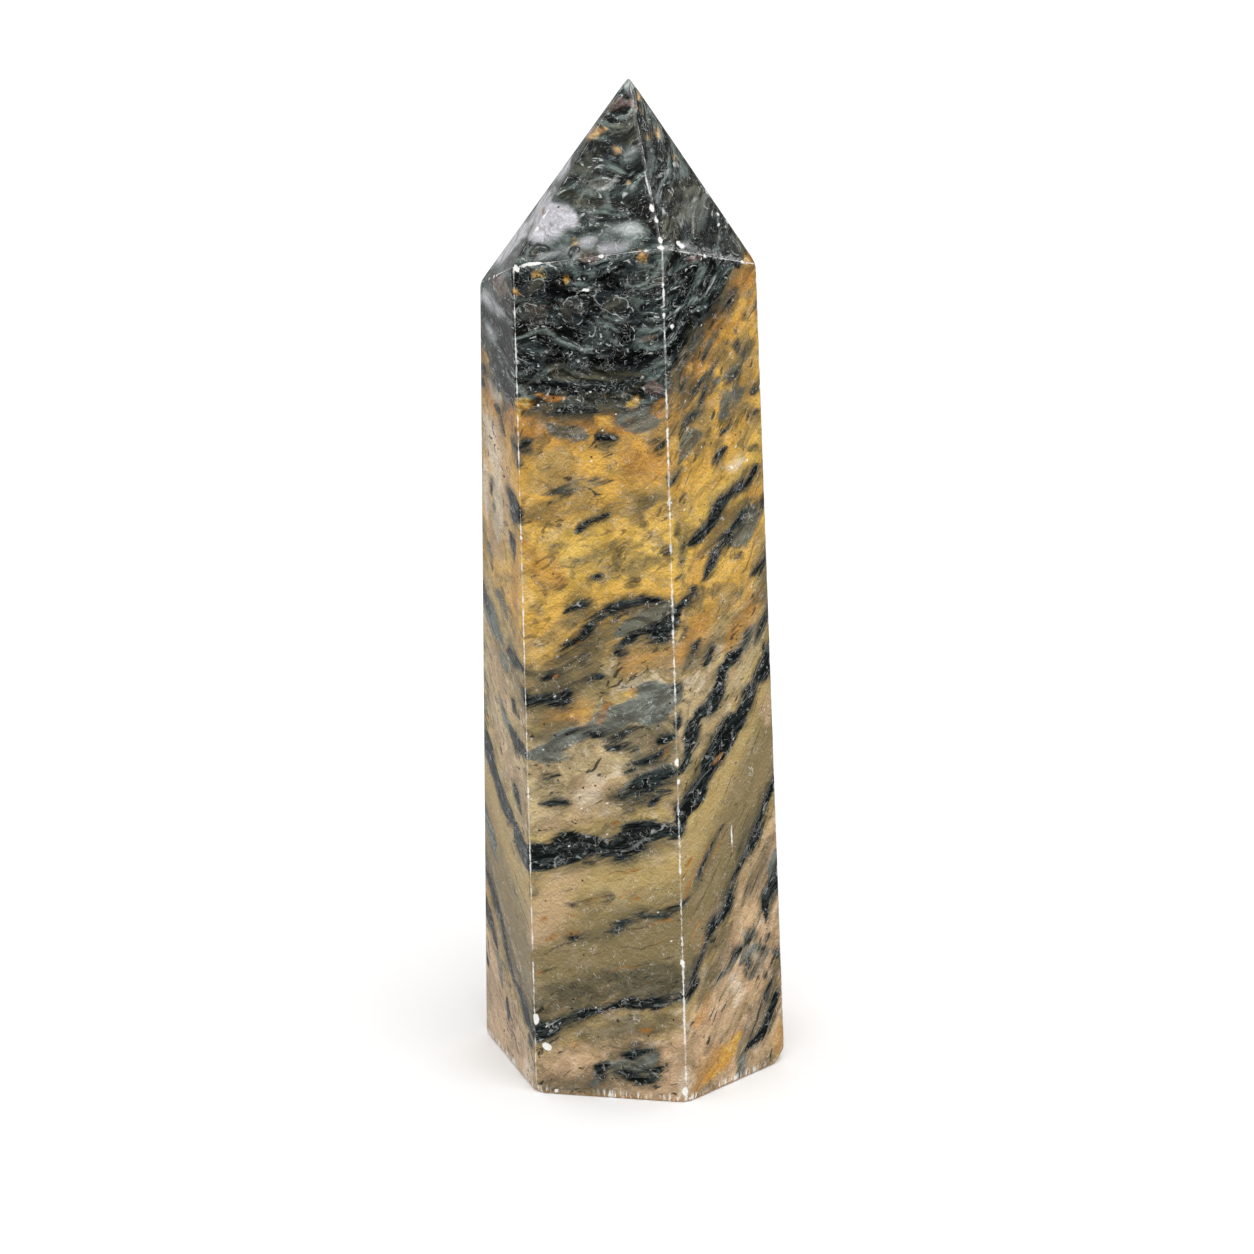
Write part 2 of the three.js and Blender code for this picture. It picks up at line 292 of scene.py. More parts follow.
        (0.3, (1.24, 5.4), (1.3, 5.8)),
        (0.3, (1.81, 7.7), (1.84, 7.7)),
        (1.0, (2.05, 66.2), (2.11, 68.0)),
        (0.9, (2.22, 73.0), (2.28, 73.6)),
        (0.9, (2.56, 76.2), (2.66, 76.2)),
        (1.6, (2.7, 77.0), (2.88, 78.9)),
        (1.2, (2.9, 82.3), (3.0, 83.2)),
        (0.7, (1.0, 81.5), (1.04, 81.6)),
        (0.5, (1.11, 84.0), (1.2, 83.3), (1.27, 82.9)),
        (0.8, (1.82, 85.6), (1.86, 85.7)),
        (0.4, (1.35, 82.5), (1.39, 82.5)),
        (0.5, (1.33, 86.2), (1.34, 86.0)),
        (1.3, (0.3, 94.7), (0.7, 94.9), (1.0, 95.0), (1.18, 95.0), (1.42, 95.2)),
        (0.8, (2.55, 97.9), (3.0, 98.1)),
        (0.7, (2.56, 94.8), (2.78, 94.8)),
        (0.6, (2.05, 95.2), (2.28, 95.4), (2.5, 95.2)),
        (0.4, (1.96, 97.2), (2.2, 97.0), (2.35, 96.5), (2.5, 96.2)),
        (0.3, (1.54, 93.4), (1.61, 93.7)),
        (0.25, (1.1, 92.3), (1.13, 92.0)),
        (0.25, (1.73, 91.1), (1.78, 91.4)),
        (0.4, (2.66, 92.9), (2.75, 92.8)),
        (0.5, (1.55, 72.0), (1.58, 72.0)),
    ),
    # thin lines of orange rust
    "thread": (
        (0.4, (0.5, 88.0), (0.8, 88.4), (1.0, 88.2), (1.18, 88.3)),
        (0.3, (1.3, 22.2), (1.45, 23.0), (1.6, 23.8), (1.72, 24.5)),
        (0.3, (1.02, 20.6), (1.14, 21.0), (1.3, 22.0), (1.42, 22.6)),
        (0.3, (1.55, 23.2), (1.65, 24.0), (1.85, 25.0)),
        (0.3, (1.0, 17.9), (1.16, 18.5)),
        (0.4, (1.3, 20.2), (1.42, 20.7)),
        (0.3, (1.04, 15.6), (1.2, 16.6), (1.4, 17.6)),
        (0.3, (1.1, 18.6), (1.3, 19.4), (1.5, 20.6)),
        (0.3, (1.5, 20.4), (1.75, 21.6), (1.95, 22.6)),
        (0.3, (2.02, 20.8), (2.08, 22.4), (2.18, 24.4)),
        (0.3, (2.04, 24.0), (2.1, 25.4)),
        (0.3, (1.4, 28.3), (1.52, 28.8), (1.66, 29.0)),
        (0.4, (1.45, 38.8), (1.55, 39.8), (1.6, 41.2)),
        (0.4, (1.9, 35.2), (1.94, 36.2), (1.98, 36.8)),
        (0.3, (1.1, 13.4), (1.25, 13.6)),
        (0.4, (2.36, 33.4), (2.48, 34.4)),
        (0.3, (1.16, 43.4), (1.26, 44.6)),
        (0.4, (1.32, 46.0), (1.4, 47.2)),
        (0.3, (1.55, 51.4), (1.75, 52.2), (1.88, 52.2)),
        (0.4, (1.24, 5.0), (1.32, 5.6)),
        (0.35, (1.66, 7.0), (1.84, 7.8)),
        (0.4, (2.3, 60.4), (2.5, 61.4), (2.7, 62.6)),
        (0.4, (1.66, 69.2), (1.76, 69.7), (1.9, 69.2)),
        (0.4, (1.1, 71.6), (1.24, 71.0), (1.4, 70.8)),
        (0.3, (2.06, 71.0), (2.2, 73.4), (2.34, 75.4)),
    ),
    # pale haze in the dark top: the wider, the paler. On the tip's left facet and the left side
    # below it, it is also a painted reflection of the pale wall
    "haze_and_reflection": (
        # on the left side and the tip's left facet: pale stone, and a painted reflection of the
        # pale wall
        (6.4, (0.05, 83.0), (0.25, 84.4), (0.42, 86.0)),
        (5.0, (0.1, 88.0), (0.5, 88.2), (0.95, 88.3)),
        (3.8, (0.05, 91.0), (0.6, 91.2)),
        (2.2, (0.0, 94.6), (0.5, 95.0)),
        (1.2, (0.1, 97.2), (0.9, 97.6)),
        (1.8, (0.4, 81.9), (0.6, 83.0), (0.95, 84.6)),
        (2.4, (0.0, 78.0), (0.3, 78.6), (0.7, 78.4)),
        (2.0, (0.05, 75.4), (0.5, 75.0)),
        (1.6, (0.5, 81.2), (0.8, 82.2)),
        (3.0, (0.2, 86.6), (0.5, 86.4), (0.7, 86.2)),
        (1.3, (1.1, 90.6), (1.35, 91.0), (1.6, 91.4)),
        (1.5, (1.45, 86.9), (1.7, 87.3), (1.95, 87.7)),
        (1.5, (1.05, 85.0), (1.3, 85.4), (1.5, 85.6)),
        (1.2, (1.6, 92.6), (1.75, 93.4), (1.9, 94.4)),
        (1.0, (2.5, 90.6), (2.8, 91.4)),
        (1.4, (2.5, 86.6), (2.8, 88.4)),
        (1.0, (2.06, 89.2), (2.2, 90.0)),
    ),
    # lavender clasts
    "pale": (
        (4.2, (0.6, 88.2), (1.02, 88.2), (1.2, 88.0)),
        (3.6, (0.94, 86.9), (1.1, 87.1)),
        (2.3, (1.58, 86.0), (1.68, 86.4)),
        (1.9, (1.41, 86.0), (1.49, 86.4)),
        (0.7, (2.55, 71.2), (2.57, 71.3)),
        (1.0, (2.2, 86.1), (2.3, 85.6), (2.42, 84.9)),
        (0.6, (2.89, 79.4), (2.89, 79.3)),
    ),
    # dusky pink clasts
    "rose": (
        (1.5, (1.46, 85.2), (1.54, 85.4)),
        (1.6, (1.1, 97.5), (1.48, 97.6), (1.85, 97.6)),
        (1.5, (1.88, 72.0), (2.0, 72.4)),
        (1.4, (1.92, 75.0), (2.12, 75.2)),
        (2.4, (1.1, 79.2), (1.17, 79.6)),
        (2.4, (0.35, 80.8), (0.6, 80.6), (0.85, 80.9)),
        (1.0, (1.86, 77.2), (1.93, 77.6)),
        (0.9, (2.26, 84.4), (2.42, 83.6)),
    ),
    # golden brown clouds
    "flush": (
        (3.4, (0.92, 56.5), (0.86, 53.0), (0.8, 49.5)),
        (2.4, (0.08, 73.0), (0.35, 71.4)),
        (2.0, (0.92, 69.5), (1.0, 68.5)),
        (2.4, (1.02, 56.8), (1.12, 54.0), (1.3, 53.2)),
        (3.0, (2.05, 46.0), (2.2, 47.6), (2.36, 48.6)),
        (2.6, (2.5, 44.6), (2.72, 47.0), (2.95, 49.8)),
        (1.3, (2.12, 52.3), (2.3, 54.6), (2.48, 56.9), (2.75, 58.9)),
        (2.4, (1.1, 38.4), (1.3, 39.6), (1.5, 40.6)),
        (3.4, (1.75, 64.5), (1.95, 65.8)),
        (1.4, (1.6, 44.2), (1.8, 45.8), (2.0, 47.2)),
        (0.9, (2.05, 8.0), (2.2, 9.2), (2.35, 10.6)),
        (2.6, (2.06, 0.6), (2.2, 2.6), (2.4, 4.6)),
        (1.8, (2.7, 79.6), (2.9, 81.6)),
        (1.8, (2.92, 0.8), (2.97, 3.4)),
        (2.0, (2.86, 59.0), (3.0, 59.8)),
    ),
    # pink and cream clouds
    "blush": (
        (7.0, (0.2, 66.0), (0.5, 62.5), (0.6, 57.0)),
        (4.0, (0.1, 57.5), (0.3, 55.0), (0.5, 52.5)),
        (3.0, (0.1, 42.5), (0.4, 40.5), (0.7, 37.5)),
        (3.0, (0.3, 35.0), (0.6, 32.6), (0.9, 31.6)),
        (4.0, (0.0, 11.5), (0.15, 6.0), (0.4, 2.0)),
        (3.0, (0.6, 5.0), (0.7, 2.0), (0.95, 1.2)),
        (2.6, (1.05, 3.6), (1.25, 4.4), (1.4, 5.6)),
        (2.0, (1.6, 1.4), (1.9, 1.4), (2.1, 3.0)),
        (3.6, (2.05, 5.5), (2.3, 6.5), (2.4, 8.2)),
        (1.9, (2.28, 12.4), (2.5, 15.8), (2.7, 19.2), (2.86, 22.4), (3.0, 26.0)),
        (2.2, (2.7, 8.5), (2.85, 10.6), (2.95, 13.0)),
        (2.0, (2.45, 18.0), (2.62, 20.0), (2.8, 23.4)),
        (2.4, (1.3, 29.6), (1.42, 31.4), (1.5, 32.8)),
        (1.6, (1.05, 27.5), (1.2, 28.2), (1.4, 28.9)),
        (2.0, (1.05, 21.6), (1.2, 22.6), (1.4, 24.0)),
        (4.0, (0.98, 16.4), (1.1, 18.5), (1.2, 21.0)),
        (4.0, (0.05, 64.0), (0.1, 58.0), (0.2, 54.0)),
    ),
    # dark olive clouds
    "dusk": (
        (2.4, (1.6, 11.8), (1.8, 12.4), (2.0, 13.4)),
        (1.8, (2.1, 9.4), (2.3, 13.0), (2.5, 17.0)),
        (2.0, (2.62, 18.0), (2.8, 21.0), (2.95, 24.0)),
        (2.6, (1.1, 10.6), (1.4, 12.2), (1.7, 12.6), (1.95, 13.9)),
        (2.4, (1.5, 4.9), (1.65, 5.3), (1.8, 5.0)),
        (3.0, (1.4, 2.0), (1.6, 3.2), (1.85, 4.2)),
        (2.4, (1.02, 41.6), (1.2, 42.8), (1.35, 44.2)),
        (2.0, (1.0, 40.6), (1.3, 41.6), (1.5, 43.0)),
        (3.0, (1.55, 31.0), (1.8, 32.6), (2.0, 34.0)),
        (2.6, (1.5, 37.6), (1.75, 38.0), (2.0, 38.6)),
        (2.4, (1.5, 11.2), (1.75, 11.6), (2.0, 12.6)),
        (1.6, (1.0, 6.6), (1.15, 7.8), (1.4, 9.8)),
        (1.8, (1.0, 23.4), (1.3, 24.4), (1.55, 25.6), (2.0, 26.6)),
        (2.6, (2.05, 30.0), (2.2, 32.6), (2.4, 36.0)),
        (2.8, (1.2, 43.4), (1.4, 45.6), (1.6, 48.2), (1.8, 50.2)),
        (2.4, (1.28, 49.0), (1.45, 50.6)),
        (2.0, (1.7, 53.8), (1.9, 56.0)),
        (2.0, (1.72, 60.8), (1.95, 61.8)),
        (1.8, (1.2, 70.6), (1.5, 70.8), (1.75, 71.3)),
        (2.6, (1.7, 34.6), (1.85, 35.6), (2.0, 36.2)),
        (2.2, (2.05, 69.5), (2.15, 72.0), (2.35, 75.5)),
        (2.0, (2.55, 68.0), (2.8, 69.6), (3.0, 71.0)),
        (2.6, (2.6, 71.6), (2.75, 73.4), (2.95, 74.4)),
        (1.6, (2.55, 22.5), (2.72, 25.5), (2.85, 28.5)),
        (2.6, (1.0, 37.4), (1.3, 38.6)),
        (2.4, (1.66, 48.6), (1.8, 50.0), (2.0, 52.0)),
        (1.6, (1.05, 59.4), (1.3, 60.4), (1.5, 61.0)),
        (1.2, (1.5, 60.4), (1.7, 61.2), (1.95, 62.6)),
        (1.2, (1.3, 54.6), (1.5, 55.4), (1.75, 56.8)),
        (1.6, (2.05, 48.5), (2.2, 50.6), (2.35, 53.0)),
        (2.0, (2.0, 66.0), (2.2, 68.0), (2.45, 71.0)),
        (1.4, (2.02, 55.0), (2.2, 57.5)),
        (2.6, (1.0, 0.6), (1.3, 1.2), (1.6, 2.0)),
        (1.4, (2.8, 16.4), (2.88, 18.4), (2.95, 21.0)),
        (2.6, (1.3, 6.4), (1.6, 7.4), (1.95, 8.6)),
        (2.0, (1.0, 8.6), (1.2, 10.0)),
        (2.4, (2.3, 55.0), (2.6, 57.4), (2.9, 58.8)),
        (2.2, (2.5, 2.4), (2.7, 5.4), (2.95, 8.6)),
    ),
    # whitish quartz
    "cream": (
        (1.2, (2.47, 11.6), (2.53, 9.4), (2.55, 7.6)),
        (4.4, (0.1, 66.0), (0.4, 62.5), (0.45, 54.5)),
        (2.4, (0.1, 62.0), (0.15, 56.0)),
        (2.0, (0.2, 70.0), (0.6, 69.6)),
        (0.8, (2.68, 12.3), (2.74, 11.8)),
        (0.6, (2.84, 9.4), (2.9, 9.1)),
        (1.6, (1.36, 31.0), (1.45, 31.6)),
        (0.9, (1.44, 33.0), (1.5, 33.4)),
        (0.6, (1.58, 4.8), (1.66, 4.7)),
        (1.1, (2.6, 63.0), (2.82, 63.0)),
        (1.4, (0.72, 1.0), (0.9, 1.6), (0.98, 3.2)),
        (1.4, (1.92, 1.0), (2.0, 2.4), (2.06, 4.0)),
        (0.7, (0.66, 82.7), (0.84, 83.5), (1.0, 83.9)),
        (0.5, (0.82, 82.3), (1.0, 82.5)),
    ),
    # dark round clasts with a pale outline
    "pebble": (
        (2.6, (1.1, 82.2), (1.16, 82.4)),
        (2.8, (1.1, 79.5), (1.16, 79.4)),
        (2.6, (1.37, 79.7), (1.42, 79.7)),
        (2.6, (1.6, 80.9), (1.68, 80.9)),
        (0.9, (1.68, 79.7), (1.74, 79.8)),
        (1.2, (1.85, 79.2), (1.92, 79.3)),
        (1.5, (1.95, 83.1), (2.03, 83.1)),
        (1.9, (2.8, 84.9), (2.87, 84.0)),
        (1.3, (2.36, 81.0), (2.44, 82.3)),
        (1.2, (2.1, 96.1), (2.2, 96.1)),
        (0.9, (1.5, 81.8), (1.56, 81.9)),
        (1.0, (1.33, 85.3), (1.38, 85.4)),
        (1.4, (1.06, 85.3), (1.14, 85.6)),
        (1.0, (2.2, 91.6), (2.3, 91.9)),
        (1.1, (2.15, 88.6), (2.25, 88.9)),
    ),
    # pale wisps in the black, mostly near the tip; on the tip and along the main vein some are
    # painted highlights
    "wisp_and_highlight": (
        (1.0, (1.1, 99.2), (1.8, 99.1), (2.8, 99.0)),
        (0.7, (1.6, 96.4), (1.95, 96.9)),
        (0.3, (1.0, 96.7), (1.2, 96.7)),
        (0.3, (1.05, 98.1), (1.25, 98.0)),
        (0.3, (1.4, 97.1), (1.7, 97.4)),
        (0.3, (1.55, 92.3), (1.7, 93.2), (1.9, 94.2)),
        (0.3, (1.6, 91.4), (1.78, 92.4), (1.97, 93.6)),
        (0.4, (1.62, 90.6), (1.8, 91.6), (2.0, 92.9)),
        (0.4, (1.7, 90.2), (1.85, 91.0), (2.0, 91.8)),
        (0.7, (1.35, 90.6), (1.5, 91.2), (1.62, 92.3)),
        (0.5, (1.1, 90.9), (1.3, 91.5)),
        (0.4, (1.3, 88.6), (1.45, 88.2), (1.62, 88.6)),
        (1.0, (1.55, 86.9), (1.75, 87.5), (1.97, 87.9)),
        (0.5, (1.62, 86.3), (1.8, 87.0)),
        (0.5, (1.12, 84.6), (1.2, 85.6)),
        (0.4, (1.25, 85.0), (1.32, 85.9)),
        (0.4, (1.36, 84.6), (1.42, 85.3)),
        (0.3, (1.5, 81.2), (1.58, 82.2)),
        (0.3, (1.85, 80.4), (1.93, 81.6)),
        (0.3, (1.66, 79.3), (1.7, 78.6), (1.77, 79.1)),
        (0.2, (1.66, 78.4), (1.74, 78.3), (1.8, 78.7)),
        (0.2, (1.36, 75.2), (1.46, 75.8), (1.53, 76.3)),
        (0.4, (2.1, 94.2), (2.3, 93.6)),
        (0.4, (2.25, 93.0), (2.4, 93.1)),
        (0.7, (2.6, 92.4), (2.66, 92.2)),
        (0.4, (2.2, 91.0), (2.45, 92.2)),
        (0.4, (2.5, 90.0), (2.8, 90.9)),
        (0.5, (2.1, 88.9), (2.16, 88.4)),
        (0.3, (2.33, 86.9), (2.36, 88.2)),
        (0.3, (2.38, 86.8), (2.41, 88.5)),
        (0.3, (2.43, 86.9), (2.46, 88.0)),
        (0.3, (2.5, 88.2), (2.75, 88.6)),
        (0.4, (2.35, 82.9), (2.5, 83.6)),
        (0.3, (2.3, 79.3), (2.42, 80.6), (2.6, 82.3)),
        (0.3, (2.4, 80.0), (2.52, 81.3), (2.7, 82.4)),
        (0.3, (2.1, 79.0), (2.2, 80.5)),
        (0.4, (2.05, 83.2), (2.15, 82.6)),
        # painted highlights along the main vein
        (0.4, (1.03, 23.3), (1.12, 25.3)),
        (0.12, (1.3, 25.0), (1.44, 25.5), (1.5, 27.0), (1.55, 27.9)),
        (0.12, (1.5, 26.3), (1.75, 26.8), (2.0, 27.5)),
        (0.3, (0.6, 91.0), (1.0, 91.4)),
        (0.3, (0.7, 96.0), (1.0, 96.1)),
        (0.5, (0.1, 79.2), (0.5, 78.6)),
        (0.4, (0.3, 76.0), (0.7, 75.2)),
    ),
    # white bruises and nicks
    "chip": (
        (0.9, (1.01, 8.0), (1.01, 7.6)),
        (0.8, (1.07, 5.1), (1.09, 4.9)),
        (0.4, (1.13, 0.3), (1.14, 0.5)),
        (0.7, (1.99, 1.9), (1.98, 0.6)),
        (0.15, (1.96, 92.6), (1.97, 91.2), (1.99, 89.8)),
        (0.5, (1.97, 89.6), (1.98, 89.2)),
        (0.5, (1.96, 86.3), (2.0, 86.3), (2.04, 86.2)),
        (0.6, (2.21, 86.0), (2.3, 85.5)),
        (0.4, (2.34, 85.0), (2.42, 84.6)),
        (0.4, (2.51, 84.5), (2.63, 83.9)),
        (0.5, (3.16, 99.3), (3.44, 98.6)),
        (0.5, (2.07, 78.5), (2.1, 78.3)),
        (0.4, (2.64, 62.8), (2.68, 62.6)),
        (0.3, (2.73, 63.0), (2.76, 63.1)),
        (0.3, (2.8, 62.9), (2.84, 63.0)),
        (0.3, (1.97, 61.3), (2.04, 61.1)),
        (0.7, (2.0, 35.4), (2.0, 35.0)),
        (0.5, (2.01, 33.4), (2.01, 33.2)),
        (0.7, (1.99, 14.8), (2.0, 14.4)),
        (0.3, (1.84, 13.9), (1.84, 12.9)),
        (0.16, (2.55, 29.2), (2.53, 26.0), (2.54, 22.6)),
        (0.2, (1.34, 58.0), (1.39, 58.2)),
        (0.4, (1.46, 81.8), (1.51, 81.9)),
        (0.3, (1.0, 73.0), (1.01, 71.4)),
        (0.5, (1.0, 84.0), (1.04, 83.4)),
        (0.3, (1.04, 84.0), (1.2, 84.3)),
        (0.3, (2.2, 86.2), (2.28, 86.0)),
        (0.3, (2.84, 86.0), (2.9, 86.2)),
        (0.3, (2.92, 87.0), (2.95, 86.8)),
    ),
}

# Marks that are drawn at random on the three sides at the back: how many of each kind, and
# their least and greatest width and half run. A run of 1 is the width of a side.
HIDDEN_MARKS = {
    "dark": (90, (0.4, 1.4), (0.06, 0.35)),
    "grey": (22, (0.9, 2.6), (0.12, 0.35)),
    "gold": (26, (0.4, 1.6), (0.03, 0.16)),
    "thread": (24, (0.3, 0.5), (0.05, 0.2)),
    "haze_and_reflection": (16, (1.0, 3.4), (0.1, 0.4)),
    "pale": (7, (0.6, 2.2), (0.02, 0.08)),
    "rose": (9, (0.9, 2.2), (0.03, 0.12)),
    "flush": (14, (1.4, 3.6), (0.1, 0.35)),
    "blush": (14, (1.6, 4.5), (0.1, 0.4)),
    "dusk": (20, (1.8, 3.2), (0.1, 0.4)),
    "cream": (12, (0.6, 1.6), (0.02, 0.1)),
    "pebble": (16, (0.8, 2.6), (0.02, 0.08)),
    "wisp_and_highlight": (30, (0.3, 0.6), (0.05, 0.2)),
    "chip": (12, (0.2, 0.5), (0.01, 0.03)),
}

# Where those marks have their middles, and the least and greatest height of any part of one
HIDDEN_SIDES = (3.02, 5.98)
HIDDEN_HEIGHTS = (1.5, 94.0)
PATH_HEIGHTS = (0.5, 98.0)

# The side edges, the ridges of the tip, the shoulders and the base edges: how many tiny bruises
# each edge has, and how wide its whitish line of wear and painted highlight is
NICKS = (16, 4, 6, 9)
EDGE_WEAR_AND_SHINE = (1.5, 0.35, 0.5, 0.5)
NICK_HALF_LENGTHS = (0.05, 0.4)
NICK_WIDTHS = (0.2, 0.5)

# How the stone is made, in millimetres where nothing else is said
SMALLEST_PLANE = 0.1  # in square millimetres
SAME_WAY = math.cos(math.radians(0.2))  # two triangles face the same way within this angle
TIPPED = 0.3  # the rise of a flat's normal: a side's is less and a tip facet's is more
EDGE_STEPS = np.array([0.0, 0.06, 0.13, 0.22, 0.36])  # columns and rows stand closer by an edge
SIDE_SPACING = (1.35, 1, 1, 2, 2, 2)  # the left side is seen aslant, and the back hardly at all
BODY_SPACING = 1.12  # the body's rows are this much further apart than the tip's
HEART_HEIGHTS = (4.0, 95.0)  # the lines from the axis are level between these heights
NEWTON_STEPS = 8
BASE_RINGS = (0.985, 0.95, 0.88, 0.75, 0.55, 0.3)  # shares of the way from the pole to the rim
LAST_ROW = 0.02  # how far under the highest point the last row may reach
POLE_RISE = 0.005  # how far the tip's pole is above that point
FARTHEST = 3.0  # a point counts as at most this far outside a mark
LONG = 9.0  # how long a mark has to be to narrow only near its ends
MOST_NARROWED = 0.8  # a mark's ends are at most this share narrower than its middle
SLENDER = 5  # a mark that is this many half widths long narrows as far as that
WAVES = 14  # how many waves bend the marks
WAVE_LENGTHS = (1.8, 7.0)
WAVE_REACH = 0.035  # how far a wave moves a point, as a share of its length
# Past this distance from every edge there is neither wear nor painted edge highlight.
FAR_FROM_EDGES = 3.0  # a point this far from every edge isn't worn


def tone(code):
    """The linear colour for a six-digit screen colour."""
    parts = [int(code[k:k + 2], 16) / 255 for k in (0, 2, 4)]
    return tuple(p / 12.92 if p <= 0.04045 else ((p + 0.055) / 1.055) ** 2.4 for p in parts)


TONES = {
    "black": ("Black veins", "06090a"),
    "charcoal": ("Charcoal", "1f2527"),
    "gloom": ("Green-black", "2e3635"),
    "slate": ("Grey-green slate", "59635f"),
    # Pale swirls in the stone; also the pale of the painted gleams, highlight arcs and highlight
    # wisps.
    "mist_and_gleam": ("Pale swirls", "b9bfbb"),
    "umber": ("Brown under the black", "4a4030"),
    "olive": ("Olive", "817351"),
    "dusk": ("Dark olive clouds", "575240"),
    "straw": ("Yellow olive", "ae9763"),
    "sand": ("Pale sand", "b29f78"),
    "blush": ("Pink tan", "bfa17f"),
    "cream": ("Whitish quartz", "d6cab6"),
    "gold": ("Golden ochre", "c79c4b"),
    "amber": ("Bright gold", "d2ad55"),
    "rust": ("Orange rust", "bb7c30"),
    "flush": ("Golden brown clouds", "b1803e"),
    "lavender": ("Lavender chalcedony", "c4c3c9"),
    "rose": ("Dusky pink clasts", "7e6b69"),
    # White of bruises and chips; also the white of painted glints, painted edge highlights and the
    # haze's brightest painted reflection.
    "bruise_and_glint": ("White bruises", "f6f5f1"),
}

# The bands from the bottom up: the level in millimetres and the tone there
BANDS = (
    (-36, "sand"),
    (-31, "olive"),
    (-26, "gold"),
    (-22, "charcoal"),
    (-19, "sand"),
    (-12, "blush"),
    (-2, "blush"),
    (4, "blush"),
    (7.5, "straw"),
    (10.4, "dusk"),
    (13, "olive"),
    (18, "olive"),
    (21.5, "straw"),
    (25, "straw"),
    (28, "straw"),
    (31.5, "sand"),
    (36, "sand"),
    (39.5, "straw"),
    (43.5, "olive"),
    (46, "straw"),
    (50, "gold"),
    (57, "amber"),
    (61, "gold"),
    (66, "gold"),
    (69, "flush"),
    (70.6, "umber"),
    (71.5, "gloom"),
    (100, "gloom"),
)


def colour_property(title, code):
    return FloatVectorProperty(
        name=title,
        description=f"{title} in the stone",
        subtype="COLOR",
        size=3,
        min=0,
        max=1,
        default=tone(code),
    )


class StoneTones(bpy.types.PropertyGroup):
    """The tones of the stone."""

    __annotations__ = {key: colour_property(*value) for key, value in TONES.items()}


class StoneShape(bpy.types.PropertyGroup):
    """How finely the stone is made and how worn it is."""

    sharpness: FloatProperty(
        name="Edge sharpness",
        description="How crisp the edges are: higher is crisper, per millimetre of rounding",
        default=16,
        min=4,
    )
    grain: FloatProperty(
        name="Mesh spacing",
        description="The distance between rows and columns of the mesh on the sides that show",
        default=0.28 * MM,
        unit="LENGTH",
        precision=5,
    )
    chip_depth: FloatProperty(
        name="Chip depth",
        description="How deep a chip is, as a share of its half width",
        default=0.42,
        subtype="FACTOR",
        min=0,
        max=1,
    )
    seed: IntProperty(
        name="Seed",
        description="Chooses the marks at the back and the nicks along the edges",
        default=7,
    )


class StoneFinish(bpy.types.PropertyGroup):
    """The polish."""

    gloss: FloatProperty(
        name="Polish roughness",
        description="Roughness of the polished surface",
        default=0.1,
        subtype="FACTOR",
        min=0,
        max=1,
    )


class StudioSettings(bpy.types.PropertyGroup):
    """Where the camera stands and how bright the studio is."""

    distance: FloatProperty(
        name="Camera distance",
        description="From the camera to the middle of the stone",
        default=0.6,
        unit="LENGTH",
    )
    azimuth: FloatProperty(
        name="Camera azimuth",
        description="Round the stone from its front",
        default=math.radians(11.48),
        unit="ROTATION",
    )
    elevation: FloatProperty(
        name="Camera elevation",
        description="Above the horizon",
        default=math.radians(19.42),
        unit="ROTATION",
    )
    roll: FloatProperty(
        name="Camera roll",
        description="How far the camera is tipped about its own line of sight",
        default=math.radians(-0.79),
        unit="ROTATION",
    )
    lens: FloatProperty(
        name="Focal length",
        description="On a sensor 36 mm wide",
        default=176.55,
        unit="CAMERA",
    )
    aim: FloatVectorProperty(
        name="Camera offset",
        description="How far the camera is moved sideways and up from its line to the middle",
        size=2,
        default=(-0.22 * MM, -5.24 * MM),
        unit="LENGTH",
    )
    dome: FloatProperty(
        name="Dome light",
        description="Brightness of the white studio all round",
        default=1.0,
        min=0,
    )
    key: FloatProperty(
        name="Key light",
        description="Power of the large soft light overhead, in watts",
        default=3.2,
        min=0,
    )


# The shape of the stone


def great_planes(node):
    """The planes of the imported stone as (outward normal, distance from the origin in mm).

    Triangles that face the same way belong to one plane. The planes come largest first, and
    those no bigger than a chip's own small triangles are left out.
    """
    mesh = node.data
    count = len(mesh.polygons)
    normals = np.empty(count * 3)
    centres = np.empty(count * 3)
    areas = np.empty(count)
    mesh.polygons.foreach_get("normal", normals)
    mesh.polygons.foreach_get("center", centres)
    mesh.polygons.foreach_get("area", areas)
    normals = normals.reshape(-1, 3)
    centres = centres.reshape(-1, 3) / MM
    areas = areas / MM**2
    planes = []
    left = areas.copy()
    while left.max() > SMALLEST_PLANE:
        lead = normals[np.argmax(left)]
        same = (normals @ lead > SAME_WAY) & (left > 0)
        weights = areas[same]
        normal = weights @ normals[same]
        normal /= np.linalg.norm(normal)
        offset = weights @ (centres[same] @ normal) / weights.sum()
        planes.append((weights.sum(), normal, offset))
        left[same] = 0
    planes.sort(key=lambda plane: -plane[0])
    return [(normal, offset) for _, normal, offset in planes]


def crossing(*planes):
    """The point that three planes share."""
    return np.linalg.solve([p[0] for p in planes], [p[1] for p in planes])


